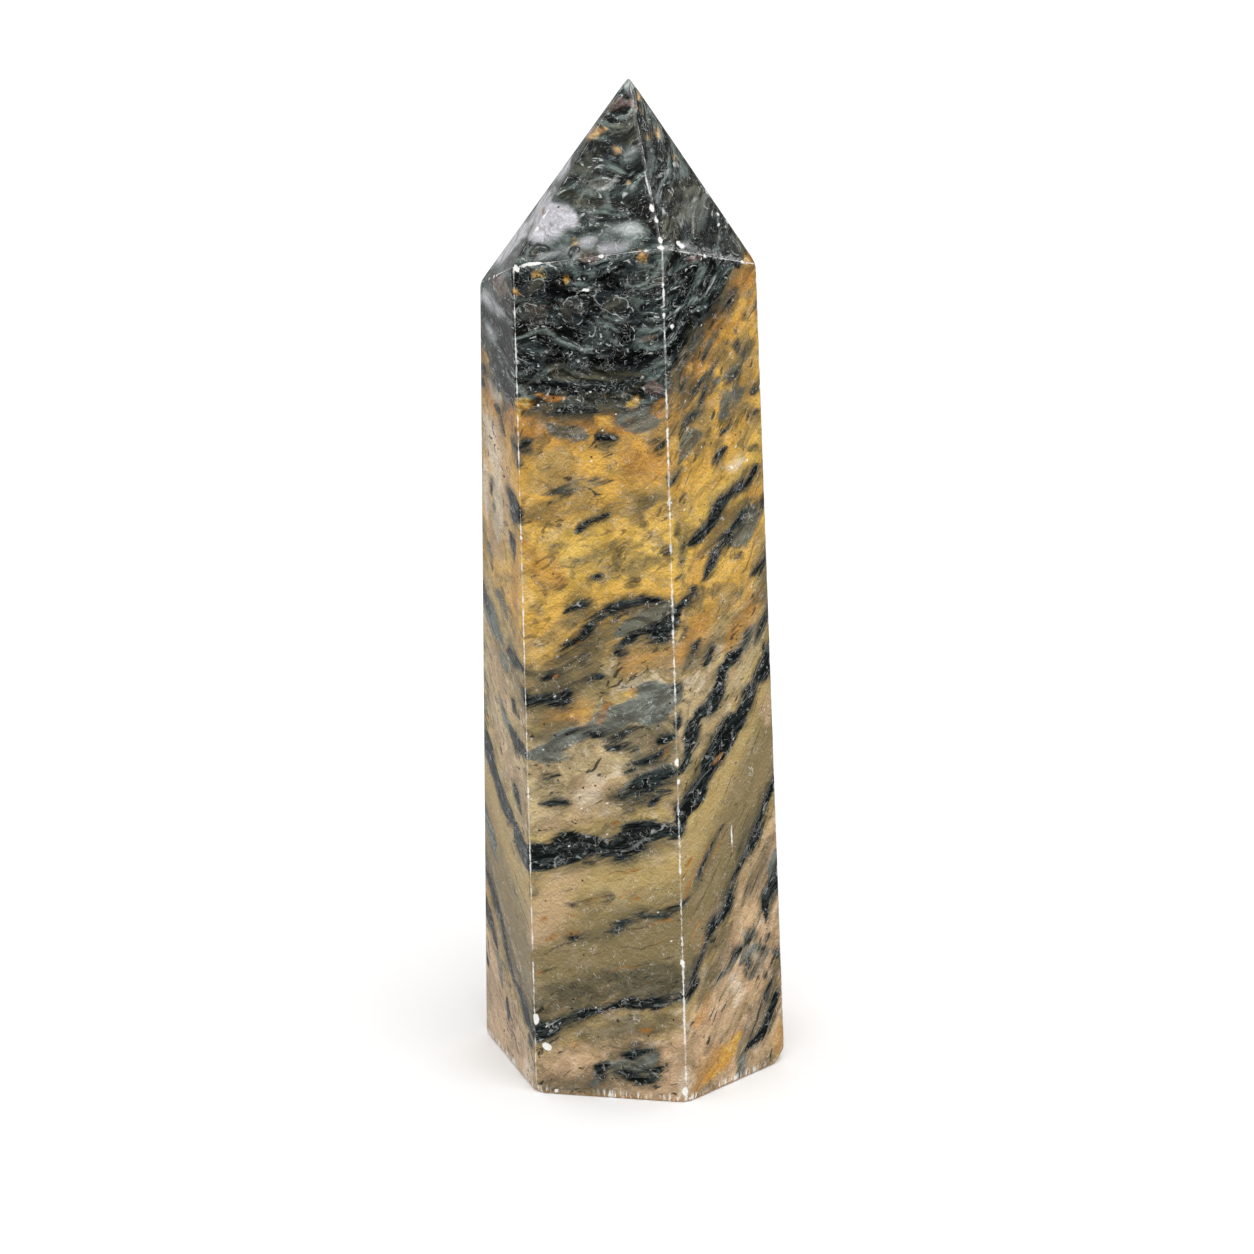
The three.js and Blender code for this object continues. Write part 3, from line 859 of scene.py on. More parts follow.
class Tower:
    """The sharp-edged tower inside the polished one: its corners, and places on it."""

    def __init__(self, planes):
        flats = planes[:2 * SIDES + 1]
        sides = [p for p in flats if abs(p[0][2]) < TIPPED]
        facets = [p for p in flats if p[0][2] > TIPPED]
        base = min(flats, key=lambda p: p[0][2])

        def turn(plane):
            return (math.atan2(plane[0][1], plane[0][0]) - math.pi) % math.tau

        sides.sort(key=turn)
        facets.sort(key=turn)
        self.feet = np.array([crossing(sides[k - 1], sides[k], base) for k in range(SIDES)])
        self.shoulders = np.array(
            [crossing(sides[k - 1], sides[k], facets[k]) for k in range(SIDES)]
        )
        self.apex = crossing(*facets[::2])
        self.tips = np.repeat(self.apex[None], SIDES, 0)

    def edge(self, k, height):
        """The point on edge k at a height: up the side edge, then up the tip's ridge."""
        k = np.asarray(k) % SIDES
        height = np.asarray(height, float)[..., None]
        foot = self.feet[k]
        shoulder = self.shoulders[k]
        up = height / shoulder[..., 2:]
        over = (height - shoulder[..., 2:]) / (self.apex[2] - shoulder[..., 2:])
        low = foot + (shoulder - foot) * up
        high = shoulder + (self.apex - shoulder) * over
        return np.where(height <= shoulder[..., 2:], low, high)

    def place(self, around, height):
        """The point at (around, height): between the two edges of its side, at that height."""
        side = np.floor(around).astype(int)
        share = (around - side)[..., None]
        return self.edge(side, height) * (1 - share) + self.edge(side + 1, height) * share

    def edges(self):
        """Every edge as its two ends: side edges, ridges, shoulder and base rim."""
        starts = np.concatenate([self.feet, self.shoulders, self.shoulders, self.feet])
        next_shoulders = np.roll(self.shoulders, -1, axis=0)
        next_feet = np.roll(self.feet, -1, axis=0)
        ends = np.concatenate([self.shoulders, self.tips, next_shoulders, next_feet])
        return np.stack([starts, ends], 1)


def steps_across(width, spacing):
    """Shares of the way across a flat: fine steps by both edges and even ones between."""
    near = EDGE_STEPS / width
    inner = 2 * EDGE_STEPS[-1] - EDGE_STEPS[-2]
    count = max(2, round((width - 2 * inner) / spacing))
    middle = np.linspace(inner, width - inner, count) / width
    return np.concatenate([near, middle, 1 - near[:0:-1]])


def ring_of_columns(tower, spacing):
    """Where each column stands round the tower, from the seam once round to it again."""
    widths = np.linalg.norm(np.roll(tower.feet, -1, axis=0) - tower.feet, axis=1)
    turns = np.concatenate(
        [k + steps_across(widths[k], spacing * SIDE_SPACING[k]) for k in range(SIDES)]
    )
    start = np.searchsorted(turns, SEAM)
    return np.concatenate([turns[start:], turns[:start] + SIDES])


def target_grid(tower, around, spacing):
    """Points on the sharp tower: rows from the base's rim up to just under the tip.

    A point is a share of the way up its side edge or ridge, and its place round the tower is
    a share of the way from one edge to the next.
    """
    body = steps_across(tower.shoulders[:, 2].mean(), spacing * BODY_SPACING)
    ridge = np.linalg.norm(tower.apex - tower.shoulders, axis=1).mean()
    tip = steps_across(ridge, spacing)
    side = np.floor(around).astype(int) % SIDES
    following = (side + 1) % SIDES
    share = (around % 1)[None, :, None]

    def rows(low, high, ups):
        up = ups[:, None, None]
        from_edge = low[side] + (high[side] - low[side]) * up
        to_edge = low[following] + (high[following] - low[following]) * up
        return from_edge * (1 - share) + to_edge * share

    return np.concatenate(
        [rows(tower.feet, tower.shoulders, body), rows(tower.shoulders, tower.tips, tip)]
    )


def polish(targets, planes, tower, sharpness):
    """Moves each target in to the polished surface, along the line to the tower's axis. Gives
    the surface's points, and the lines from the axis to the targets.

    How far a point is outside the stone is the log of the sum of the exponentials of its
    distances outside the planes times the sharpness, over the sharpness. That rounds every
    edge a little. The line's zero of it is found by Newton's steps.
    """
    normals = np.array([p[0] for p in planes])
    offsets = np.array([p[1] for p in planes])
    height = np.clip(targets[..., 2:], *HEART_HEIGHTS)
    hearts = np.concatenate([tower.apex[:2] * height / tower.apex[2], height], -1)
    lines = targets - hearts
    reach = np.ones(targets.shape[:-1] + (1,))
    along = lines @ normals.T
    start = hearts @ normals.T - offsets
    for _ in range(NEWTON_STEPS):
        outside = (start + reach * along) * sharpness
        peak = outside.max(-1, keepdims=True)
        weights = np.exp(outside - peak)
        total = weights.sum(-1, keepdims=True)
        value = (np.log(total) + peak) / sharpness
        slope = (weights * along).sum(-1, keepdims=True) / total
        reach = reach - value / slope
    return hearts + lines * reach, lines


def horizon_heights(around):
    """The height of each horizon at these places round the tower."""
    return np.stack([np.interp(around % SIDES, STATIONS, row) for _, row in HORIZONS], -1)


def bed_level(around, height):
    """Which band a place is in: a share of the way from one horizon to the next, and one
    millimetre of level for each of height below the lowest and above the highest."""
    rows = horizon_heights(around)
    spans = np.diff(rows, axis=-1)
    climbed = np.clip((height[..., None] - rows[..., :-1]) / spans, 0, 1) @ np.diff(LEVELS)
    below = np.minimum(height - rows[..., 0], 0)
    above = np.maximum(height - rows[..., -1], 0)
    return LEVELS[0] + climbed + below + above


def height_of(level, around):
    """The height at which a level crops out at one place round the tower."""
    rows = horizon_heights(np.float64(around))
    inside = np.interp(level, LEVELS, rows)
    return inside + min(level - LEVELS[0], 0) + max(level - LEVELS[-1], 0)


def hidden_marks(rng):
    """Marks for the back. Each follows its band for a short run to either side."""
    marks = {}
    lowest, highest = PATH_HEIGHTS
    for kind, (count, widths, runs) in HIDDEN_MARKS.items():
        marks[kind] = []
        for _ in range(count):
            middle = rng.uniform(*HIDDEN_SIDES)
            height = rng.uniform(*HIDDEN_HEIGHTS)
            width = rng.uniform(*widths)
            run = rng.uniform(*runs)
            level = bed_level(np.float64(middle), np.float64(height))
            stops = [middle + run * share for share in (-1, -0.5, 0, 0.5, 1)]
            path = [(a, min(max(height_of(level, a), lowest), highest)) for a in stops]
            marks[kind].append((width, *path))
    return marks


def edge_nicks(tower, rng):
    """Small bruises strung along every edge, as (ends, width)."""
    nicks = []
    for (first, last), count in zip(tower.edges(), np.repeat(NICKS, SIDES)):
        length = np.linalg.norm(last - first)
        for _ in range(count):
            middle = rng.uniform(0, 1)
            half = rng.uniform(*NICK_HALF_LENGTHS) / length
            ends = [first + (last - first) * (middle + side * half) for side in (-1, 1)]
            nicks.append((np.array(ends), rng.uniform(*NICK_WIDTHS)))
    return nicks


def distance_to_line(points, first, step):
    """How far each point is from the line from first to first + step, and the share of the
    way along it at which the line comes nearest."""
    share = np.clip((points - first) @ step / (step @ step), 0, 1)
    return np.linalg.norm(points - first - share[:, None] * step, axis=1), share


def nearness(points, path, half):
    """How near each point is to a mark: 1 on its line, 0 at its rim and less outside.

    It is one less the distance from the line over the half width there. A mark narrows
    towards its ends by a power of the place along it, which runs from -1 to 1: the square if
    it is short, like a leaf, and the fourth if it is long.
    """
    steps = np.diff(path, axis=0)
    lengths = np.linalg.norm(steps, axis=1)
    starts = np.concatenate([[0], np.cumsum(lengths)])
    best = np.full(len(points), np.inf)
    along = np.zeros(len(points))
    for first, step, length, start in zip(path, steps, lengths, starts):
        gap, share = distance_to_line(points, first, step)
        nearer = gap < best
        best = np.where(nearer, gap, best)
        along = np.where(nearer, start + share * length, along)
    place = 2 * along / starts[-1] - 1
    narrowed = MOST_NARROWED * min(1, starts[-1] / (SLENDER * half))
    power = 2 if starts[-1] < LONG else 4
    return 1 - best / (half * (1 - narrowed * np.abs(place) ** power))


def wavering(points, rng):
    """The points moved to and fro by a few smooth waves, so that marks laid on them bend.

    Each wave moves a point one way by the sine of how far along another way it lies.
    """
    moved = points.copy()
    for _ in range(WAVES):
        ways = rng.normal(size=(2, 3))
        along, aside = ways / np.linalg.norm(ways, axis=1)[:, None]
        length = rng.uniform(*WAVE_LENGTHS)
        turn = points @ along * (math.tau / length) + rng.uniform(0, math.tau)
        moved += np.sin(turn)[:, None] * aside * (WAVE_REACH * length)
    return moved


def lay_mark(field, points, path, width):
    """Raises a field to how many millimetres inside a mark its points are, where it's near.

    Returns those points and how deep a chip with the mark's width would be there.
    """
    half = width / 2
    reach = half + FARTHEST
    low, high = path.min(0) - reach, path.max(0) + reach
    close = np.flatnonzero(((points > low) & (points < high)).all(1))
    near = nearness(points[close], path, half)
    field[close] = np.maximum(field[close], near * half)
    return close, np.sqrt(np.clip(near, 0, 1)) * half


def mark_fields(points, tower, rng):
    """For each kind of mark how far inside the nearest one each point is, and how deep the
    chips are there."""
    hidden = hidden_marks(rng)
    bent = wavering(points, rng)
    fields = {}
    depth = np.zeros(len(points))
    for kind, seen in MARKS.items():
        is_chip = kind == "chip"
        field = np.full(len(points), -FARTHEST)
        rows = [*seen, *hidden[kind]]
        lines = [(tower.place(*np.array(places).T), width) for width, *places in rows]
        if is_chip:
            lines += edge_nicks(tower, rng)
        for path, width in lines:
            close, hollow = lay_mark(field, points if is_chip else bent, path, width)
            if is_chip:
                depth[close] = np.maximum(depth[close], hollow)
        fields[kind] = field
    return fields, depth


def edge_distance(points, tower):
    """How far each point of the sharp tower is from its nearest edge, up to a limit. An edge with
    a wider line of wear and painted highlight counts as nearer."""
    nearest = np.full(len(points), FAR_FROM_EDGES)
    for (first, last), worn_and_shine in zip(tower.edges(), np.repeat(EDGE_WEAR_AND_SHINE, SIDES)):
        gap, _ = distance_to_line(points, first, last - first)
        nearest = np.minimum(nearest, gap / worn_and_shine)
    return nearest


def base_points(rim):
    """The rings of the base, from its rim inwards, and the pole in its middle."""
    middle = rim.mean(0)
    rings = middle + (rim - middle) * np.array(BASE_RINGS)[:, None, None]
    points = np.concatenate([rings.reshape(-1, 3), [middle]])
    points[:, 2] = 0.0
    return points


def tip_pole(points):
    """The tip's pole: over the middle of the last row, and a hair above its highest point."""
    top = points[:, 2].max()
    last = points[points[:, 2] > top - LAST_ROW]
    return [*last[:, :2].mean(0), top + POLE_RISE]


def end_values(name, values, columns):
    """A field's values in the base's rings, at the base's pole and at the tip's. The rings
    carry on their rim's bands, and have no marks and no edges."""
    rim = values[:columns]
    inner = {"bed": rim, "edge": FAR_FROM_EDGES}.get(name, -FARTHEST)
    rings = np.broadcast_to(inner, (len(BASE_RINGS), columns)).reshape(-1)
    return np.concatenate([rings, [rim.mean(), values[-1]]])


def stone_faces(rows, columns):
    """Quads between neighbouring rows and a fan round each pole, all facing outwards.

    The points are those of the rows from the base's rim up, then those of the base's rings
    from the rim inwards, then the base's pole and the tip's.
    """
    rings = len(BASE_RINGS)
    order = np.concatenate([np.arange(rows, rows + rings)[::-1], np.arange(rows)])
    starts = order[:, None] * columns
    column = np.arange(columns)
    here = starts + column
    right = starts + (column + 1) % columns
    low_pole = np.full(columns, (rows + rings) * columns)
    quads = np.stack([here[:-1], right[:-1], right[1:], here[1:]], -1).reshape(-1, 4)
    low = np.stack([low_pole, right[0], here[0]], 1)
    high = np.stack([here[-1], right[-1], low_pole + 1], 1)
    return quads.tolist() + low.tolist() + high.tolist()


def add_map(mesh, rows, columns):
    """A map that unrolls the stone over the whole square: once round is the width, and from
    the base's pole to the tip's is the height."""
    row, column = np.meshgrid(np.arange(rows - 1), np.arange(columns), indexing="ij")
    across = np.stack([column, column + 1, column + 1, column], -1) / columns
    up = (np.stack([row, row, row + 1, row + 1], -1) + 1) / (rows + 1)
    column = np.arange(columns)
    low = np.stack([column + 0.5, column + 1, column], 1) / columns
    high = np.stack([column, column + 1, column + 0.5], 1) / columns
    bottom, top = 1 / (rows + 1), rows / (rows + 1)
    low_up = np.tile([0, bottom, bottom], columns)
    high_up = np.tile([top, top, 1], columns)
    spots = np.stack([
        np.concatenate([across.reshape(-1), low.reshape(-1), high.reshape(-1)]),
        np.concatenate([up.reshape(-1), low_up, high_up]),
    ], -1)
    mesh.uv_layers.new(name="OFBake").data.foreach_set("uv", spots.reshape(-1))


def make_stone(shape):
    """The polished tower as one closed mesh, with its marks and bands as attributes."""
    planes = great_planes(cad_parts[NODE])
    tower = Tower(planes)
    rng = np.random.default_rng(shape.seed)
    spacing = shape.grain / MM
    around = ring_of_columns(tower, spacing)
    targets = target_grid(tower, around, spacing)
    surface, lines = polish(targets, planes, tower, shape.sharpness)
    rows, columns = surface.shape[:2]

    points = surface.reshape(-1, 3)
    fields, depth = mark_fields(points, tower, rng)
    outward = lines.reshape(-1, 3)
    inward = -outward / np.linalg.norm(outward, axis=1)[:, None]
    points = points + inward * (depth * shape.chip_depth)[:, None]
    turns = np.broadcast_to(around, (rows, columns)).reshape(-1)
    fields["bed"] = bed_level(turns, points[:, 2])
    fields["edge"] = edge_distance(targets.reshape(-1, 3), tower)

    verts = np.concatenate([points, base_points(surface[0]), [tip_pole(points)]])
    mesh = bpy.data.meshes.new("polished_tower")
    mesh.from_pydata(verts * MM, [], stone_faces(rows, columns))
    mesh.polygons.foreach_set("use_smooth", np.ones(len(mesh.polygons), bool))
    for name, values in fields.items():
        layer = mesh.attributes.new(name, "FLOAT", "POINT")
        values = np.concatenate([values, end_values(name, values, columns)])
        layer.data.foreach_set("value", values.astype(np.float32))
    add_map(mesh, rows + len(BASE_RINGS), columns)
    mesh.update()
    return mesh


# The material


class Wires:
    """Adds nodes to one tree. An input takes either a plain value or another node's output."""

    def __init__(self, tree):
        self.tree = tree

    def fill(self, socket, value):
        if isinstance(value, bpy.types.NodeSocket):
            self.tree.links.new(value, socket)
        else:
            socket.default_value = value

    def add(self, kind, inputs=None, **settings):
        node = self.tree.nodes.new(kind)
        for name, value in settings.items():
            setattr(node, name, value)
        for name, value in (inputs or {}).items():
            self.fill(node.inputs[name], value)
        return node

    def math(self, operation, *values):
        return self.add("ShaderNodeMath", dict(enumerate(values)), operation=operation).outputs[0]

    def plus(self, first, second):
        return self.math("ADD", first, second)

    def minus(self, first, second):
        return self.math("SUBTRACT", first, second)

    def most(self, first, second):
        return self.math("MAXIMUM", first, second)

    def times(self, first, *others):
        product = first
        for value in others:
            product = self.math("MULTIPLY", product, value)
        return product

    def line(self, value, slope, start):
        """start, and slope more for each 1 of the value."""
        return self.math("MULTIPLY_ADD", value, slope, start)

    def swing(self, value, reach):
        """A noise between 0 and 1 made to swing by reach either way of zero."""
        return self.line(value, 2 * reach, -reach)

    def smooth(self, value, low, high, start=0.0, end=1.0):
        """start where the value is at or under low, end at high, with a smooth way between."""
        limits = {"Value": value, "From Min": low, "From Max": high, "To Min": start, "To Max": end}
        node = self.add("ShaderNodeMapRange", limits, interpolation_type="SMOOTHSTEP")
        return node.outputs["Result"]

    def close_to(self, value, middle, far, near):
        """1 where the value is within near of the middle, and 0 where it is far from it."""
        return self.smooth(self.math("ABSOLUTE", self.minus(value, middle)), far, near)

    def noise(self, vector, scale, detail=3.0, roughness=0.6, distortion=0.0):
        inputs = {"Vector": vector, "Scale": scale, "Detail": detail, "Roughness": roughness,
                  "Distortion": distortion}
        return self.add("ShaderNodeTexNoise", inputs).outputs["Fac"]

    def vector(self, operation, first, second):
        node = self.add("ShaderNodeVectorMath", {0: first, 1: second}, operation=operation)
        return node.outputs["Vector"]

    def point(self, x, y, z):
        return self.add("ShaderNodeCombineXYZ", {0: x, 1: y, 2: z}).outputs["Vector"]

    def stretched(self, vector, across, along):
        return self.vector("MULTIPLY", vector, (across, across, along))

    def grey(self, value):
        """A value as a grey, to multiply a colour by."""
        return self.add("ShaderNodeCombineColor", {0: value, 1: value, 2: value}).outputs[0]

    def blend(self, share, first, second, how="MIX"):
        node = self.add("ShaderNodeMix", data_type="RGBA", blend_type=how)
        sockets = {s.identifier: s for s in node.inputs}
        self.fill(sockets["Factor_Float"], share)
        self.fill(sockets["A_Color"], first)
        self.fill(sockets["B_Color"], second)
        return next(s for s in node.outputs if s.identifier == "Result_Color")

    def attribute(self, name):
        return self.add("ShaderNodeAttribute", attribute_name=name).outputs["Fac"]

    def masks(self, tree, **inputs):
        """The masks that a node group gives for these inputs."""
        node = self.add("ShaderNodeGroup", node_tree=tree)
        for name, value in inputs.items():
            self.fill(node.inputs[name], value)
        return node.outputs

    def mask(self, tree, **inputs):
        return self.masks(tree, **inputs)["Mask"]


def new_group(title, inputs, outputs=("Mask",)):
    """A node group whose inputs are a vector, if asked for, and values. It gives masks."""
    tree = bpy.data.node_groups.new(title, "ShaderNodeTree")
    for name in inputs:
        kind = "NodeSocketVector" if name == "Vector" else "NodeSocketFloat"
        tree.interface.new_socket(name, in_out="INPUT", socket_type=kind)
    for name in outputs:
        tree.interface.new_socket(name, in_out="OUTPUT", socket_type="NodeSocketFloat")
    wires = Wires(tree)
    given = wires.add("NodeGroupInput").outputs
    return wires, given, wires.add("NodeGroupOutput").inputs


def ragged_group():
    """The cover of a mark from how many millimetres inside it a point is. Noise moves its rim
    in and out. Line is thin and runs along the rim, so many millimetres inside it as Inset."""
    wires, given, masks = new_group(
        "Ragged mark", ("Inside", "Noise", "Raggedness", "Softness", "Inset"), ("Mask", "Line")
    )
    moved = wires.line(wires.minus(given["Noise"], 0.5), given["Raggedness"], given["Inside"])
    low = wires.times(given["Softness"], -1.0)
    wires.fill(masks["Mask"], wires.smooth(moved, low, given["Softness"]))
    wires.fill(masks["Line"], wires.close_to(moved, given["Inset"], 0.09, 0.02))
    return wires.tree


def ripple_group():
    """Ripples as a height between 0 and 1, and Lit, which is over 0 on their upper sides and
    under 0 on their lower ones: the height less the height a step further up."""
    wires, given, masks = new_group(
        "Ripples", ("Vector", "Scale", "Detail", "Bend", "Step"), ("Height", "Lit")
    )
    settings = (given["Scale"], given["Detail"], 0.5, given["Bend"])
    here = wires.noise(given["Vector"], *settings)
    step = wires.point(0.0, 0.0, given["Step"])
    above = wires.noise(wires.vector("ADD", given["Vector"], step), *settings)
    wires.fill(masks["Height"], here)
    wires.fill(masks["Lit"], wires.minus(here, above))
    return wires.tree


def hairline_group():
    """Thin curved lines where a bent noise passes its middle value, broken into stretches."""
    wires, given, masks = new_group("Hairlines", ("Vector", "Scale", "Width", "Bend", "Share"))
    bent = wires.noise(given["Vector"], given["Scale"], 1.5, 0.5, given["Bend"])
    line = wires.close_to(bent, 0.5, given["Width"], 0.0)
    shifted = wires.vector("ADD", given["Vector"], (31.0, 17.0, 5.0))
    patch = wires.noise(shifted, given["Scale"], 1.0)
    low = wires.line(given["Share"], -0.5, 0.75)
    kept = wires.smooth(patch, low, wires.plus(low, 0.08))
    wires.fill(masks["Mask"], wires.times(line, kept))
    return wires.tree


def speck_group():
    """Small round specks: the middles of a share of the cells that fill space."""
    wires, given, masks = new_group("Specks", ("Vector", "Scale", "Size", "Share"))
    cells = wires.add("ShaderNodeTexVoronoi", {"Vector": given["Vector"], "Scale": given["Scale"]})
    core = wires.times(given["Size"], 0.4)
    dot = wires.smooth(cells.outputs["Distance"], given["Size"], core)
    chance = wires.add("ShaderNodeSeparateColor", {0: cells.outputs["Color"]}).outputs["Red"]
    chosen = wires.math("LESS_THAN", chance, given["Share"])
    wires.fill(masks["Mask"], wires.times(dot, chosen))
    return wires.tree


class Jasper(Wires):
    """The wires of the stone: what its layers share, and body, which is its colour so far.

    A colour may be given as the name of a tone.
    """

    def __init__(self, tree, tones):
        super().__init__(tree)
        self.tones = {key: (*getattr(tones, key), 1.0) for key in TONES}
        self.ragged = ragged_group()
        self.find_places()
        self.find_noises()
        self.find_bands()

    def blend(self, share, first, second, how="MIX"):
        colours = [self.tones[c] if isinstance(c, str) else c for c in (first, second)]
        return super().blend(share, *colours, how)

    def lay(self, cover, colour, strength=1.0):
        """Lays a colour over the body, as thick as the cover times the strength."""
        self.body = self.blend(self.times(cover, strength), self.body, colour)

    def shade(self, value):
        """Darkens the body where the value is under 1 and lightens it where it is over 1."""
        self.body = self.blend(1.0, self.body, self.grey(value), "MULTIPLY")

    def covers(self, kind, noise, raggedness, softness, wider=0.0, inset=0.0):
        """The masks of one kind of mark, each mark so many millimetres wider all round."""
        inside = self.plus(self.attribute(kind), wider)
        return self.masks(self.ragged, Inside=inside, Noise=noise, Raggedness=raggedness,
                          Softness=softness, Inset=inset)

    def cover(self, *settings):
        return self.covers(*settings)["Mask"]

    def find_places(self):
        """Where a point is, in millimetres, and in the spaces that the grain is drawn out in.

        In the layers' own space the third axis is the band's level. In the gold it slants
        across the bands, up to the right on the front. Mild is midway from there to the plain
        place, and loose and drift are mild drawn out along the bands.
        """
        place = self.add("ShaderNodeTexCoord").outputs["Object"]
        scaling = {0: place, "Scale": 1 / MM}
        scaled = self.add("ShaderNodeVectorMath", scaling, operation="SCALE")
        self.spot = scaled.outputs["Vector"]
        self.bed = self.attribute("bed")
        x, y, self.height = self.add("ShaderNodeSeparateXYZ", {0: self.spot}).outputs
        lower = self.smooth(self.bed, 38.0, 50.0)
        slant = self.times(lower, self.smooth(self.bed, 72.0, 66.0, 0.0, 0.3))
        strata = self.minus(self.bed, self.times(x, slant))
        self.layers = self.point(x, y, strata)
        self.mild = self.point(x, y, self.times(self.plus(strata, self.height), 0.5))
        self.loose = self.stretched(self.mild, 0.65, 1.0)
        self.drift = self.stretched(self.mild, 0.6, 0.8)

    def find_noises(self):
        """Four noises that fray, billow and roughen the marks, and the relief's ripples: wide
        waves that flow, and leather, which is finer."""
        self.frayed = self.noise(self.stretched(self.layers, 0.28, 1.4), 0.9, 5.0, 0.7, 0.7)
        self.fibres = self.noise(self.stretched(self.mild, 0.34, 1.6), 1.1, 4.0, 0.64, 1.3)
        self.billow = self.noise(self.loose, 0.42, 3.0, 0.55, 1.2)
        self.rough = self.noise(self.spot, 1.1, 3.0, 0.55, 0.8)
        ripples = ripple_group()
        wide = self.stretched(self.mild, 0.55, 1.0)
        self.waves = self.masks(ripples, Vector=wide, Scale=0.36, Detail=2.3, Bend=1.7, Step=0.25)
        self.flows = self.waves["Height"]
        self.leather = self.masks(ripples, Vector=self.spot, Scale=1.7, Detail=2.0, Bend=1.6,
                                  Step=0.1)

    def find_bands(self):
        """The wavering bands, which are the body's first colour, and where some of them are:
        calm in the plain bands low down and busy elsewhere, golden from the gold up, and top in
        the dark top."""
        slow = self.noise(self.stretched(self.layers, 0.3, 1.0), 0.22, 2.5, 0.5)
        quick = self.noise(self.loose, 0.5, 2.0, 0.5, 1.4)
        self.level = self.plus(self.plus(self.bed, self.swing(slow, 3.0)), self.swing(quick, 2.2))
        low, high = BANDS[0][0], BANDS[-1][0]
        share = self.math("DIVIDE", self.minus(self.level, low), high - low)
        ramp = self.add("ShaderNodeValToRGB", {"Fac": share})
        stops = ramp.color_ramp.elements
        for k, (at, name) in enumerate(BANDS):
            stop = stops[k] if k < 2 else stops.new(1.0)
            stop.position = (at - low) / (high - low)
            stop.color = self.tones[name]
        self.body = ramp.outputs["Color"]
        self.calm = self.times(
            self.smooth(self.level, 10.5, 13.5), self.smooth(self.level, 25.5, 22.5)
        )
        self.busy = self.line(self.calm, -0.8, 1.0)
        self.golden = self.smooth(self.level, 42.0, 50.0)
        self.top = self.smooth(self.level, 70.8, 71.8)

    def add_clouds(self):
        """Soft clouds of pinker, darker and paler stone, faint where the bands are calm."""

        def cloud(scale, bend, *limits):
            return self.smooth(self.noise(self.drift, scale, 4.0, 0.6, bend), *limits)

        below = self.minus(1.0, self.golden)
        pinker = self.times(self.line(below, 0.85, 0.15), self.busy)
        self.lay(cloud(0.4, 0.8, 0.48, 0.62, 0.0, 0.55), "blush", pinker)
        self.lay(self.times(cloud(0.4, 1.0, 0.46, 0.62), self.busy), "olive", 0.55)
        self.lay(self.times(cloud(0.7, 1.2, 0.55, 0.66), self.busy), "dusk", 0.55)
        paler = self.line(below, 0.25, 0.15)
        self.lay(self.times(cloud(0.5, 1.0, 0.54, 0.66), self.busy), "cream", paler)

    def add_rust_threads(self):
        """Threads of rust and umber that run along the calm bands."""
        course = self.plus(self.bed, self.swing(self.noise(self.loose, 0.35, 3.0), 1.3))
        thread = self.smooth(self.math("PINGPONG", self.times(course, 0.53), 0.5), 0.09, 0.01)
        kept = self.smooth(self.noise(self.stretched(self.mild, 0.25, 0.9), 0.6, 3.0), 0.47, 0.56)
        kept = self.times(kept, self.line(self.calm, 0.65, 0.15))
        rusty = self.smooth(self.noise(self.drift, 0.2, 1.0), 0.45, 0.55)
        self.lay(thread, self.blend(rusty, "umber", "rust"), kept)

    def add_soft_marks(self):
        """The marks of pink, golden brown, dark olive and quartz, each in its own tone."""
        for kind, noise, raggedness, softness, strength in (
            ("blush", self.billow, 3.4, 1.5, 0.65),
            ("flush", self.billow, 3.4, 1.5, 0.75),
            ("dusk", self.frayed, 3.4, 1.1, 0.75),
            ("cream", self.billow, 2.6, 0.9, 0.6),
        ):
            self.lay(self.cover(kind, noise, raggedness, softness), kind, strength)

    def vary_depth(self):
        """Deeper and lighter stretches, outside the calm bands."""
        depth = self.noise(self.drift, 0.45, 4.0, 0.6, 1.0)
        depth = self.smooth(depth, 0.34, 0.64, 0.74, 1.18)
        self.shade(self.line(self.calm, self.minus(1.0, depth), depth))

    def add_dark_top(self):
        """The dark top: green-grey that flows round pools of black, paler on the tip."""
        pools = self.noise(self.stretched(self.layers, 0.4, 0.75), 0.34, 3.0, 0.55, 1.2)
        raised = self.plus(self.flows, self.smooth(self.height, 84.0, 95.0, 0.01, 0.1))
        dark = self.blend(self.smooth(pools, 0.42, 0.58), "black", "gloom")
        dark = self.blend(self.smooth(raised, 0.54, 0.7, 0.0, 0.9), dark, "slate")
        dark = self.blend(self.smooth(raised, 0.48, 0.42, 0.0, 0.85), dark, "black")
        dark = self.blend(self.smooth(self.fibres, 0.46, 0.36, 0.0, 0.6), dark, "black")
        self.lay(self.top, dark, 0.98)

    def add_streaklets(self):
        """Streaklets of black that nobody placed by hand, fainter in the gold."""
        fine = self.noise(self.stretched(self.layers, 0.5, 0.9), 0.8, 3.0, 0.6, 1.4)
        streaklets = self.times(self.smooth(fine, 0.6, 0.67), self.busy)
        strength = self.smooth(self.level, 56.0, 64.0, 0.85, 1.2)
        self.lay(streaklets, "charcoal", self.line(self.golden, -0.35, strength))

    def add_haze_and_reflection(self):
        """Pale haze in the dark top: the further inside its marks, the paler. On the tip's left
        facet and the left side below it, it is also a painted reflection of the pale wall.
        """
        inside = self.attribute("haze_and_reflection")
        veil = self.blend(self.smooth(inside, -0.2, 1.6), "slate", "lavender")
        veil = self.blend(self.smooth(inside, 0.8, 2.4, 0.0, 0.2), veil, "bruise_and_glint")
        veil = self.blend(self.smooth(self.flows, 0.5, 0.36, 0.0, 0.3), veil, "slate")
        self.haze_and_reflection = self.cover("haze_and_reflection", self.billow, 2.6, 0.9)
        # On the left of the tip this pale veil is partly a painted reflection of the pale wall.
        self.lay(self.times(self.haze_and_reflection, self.top), veil, 0.92)

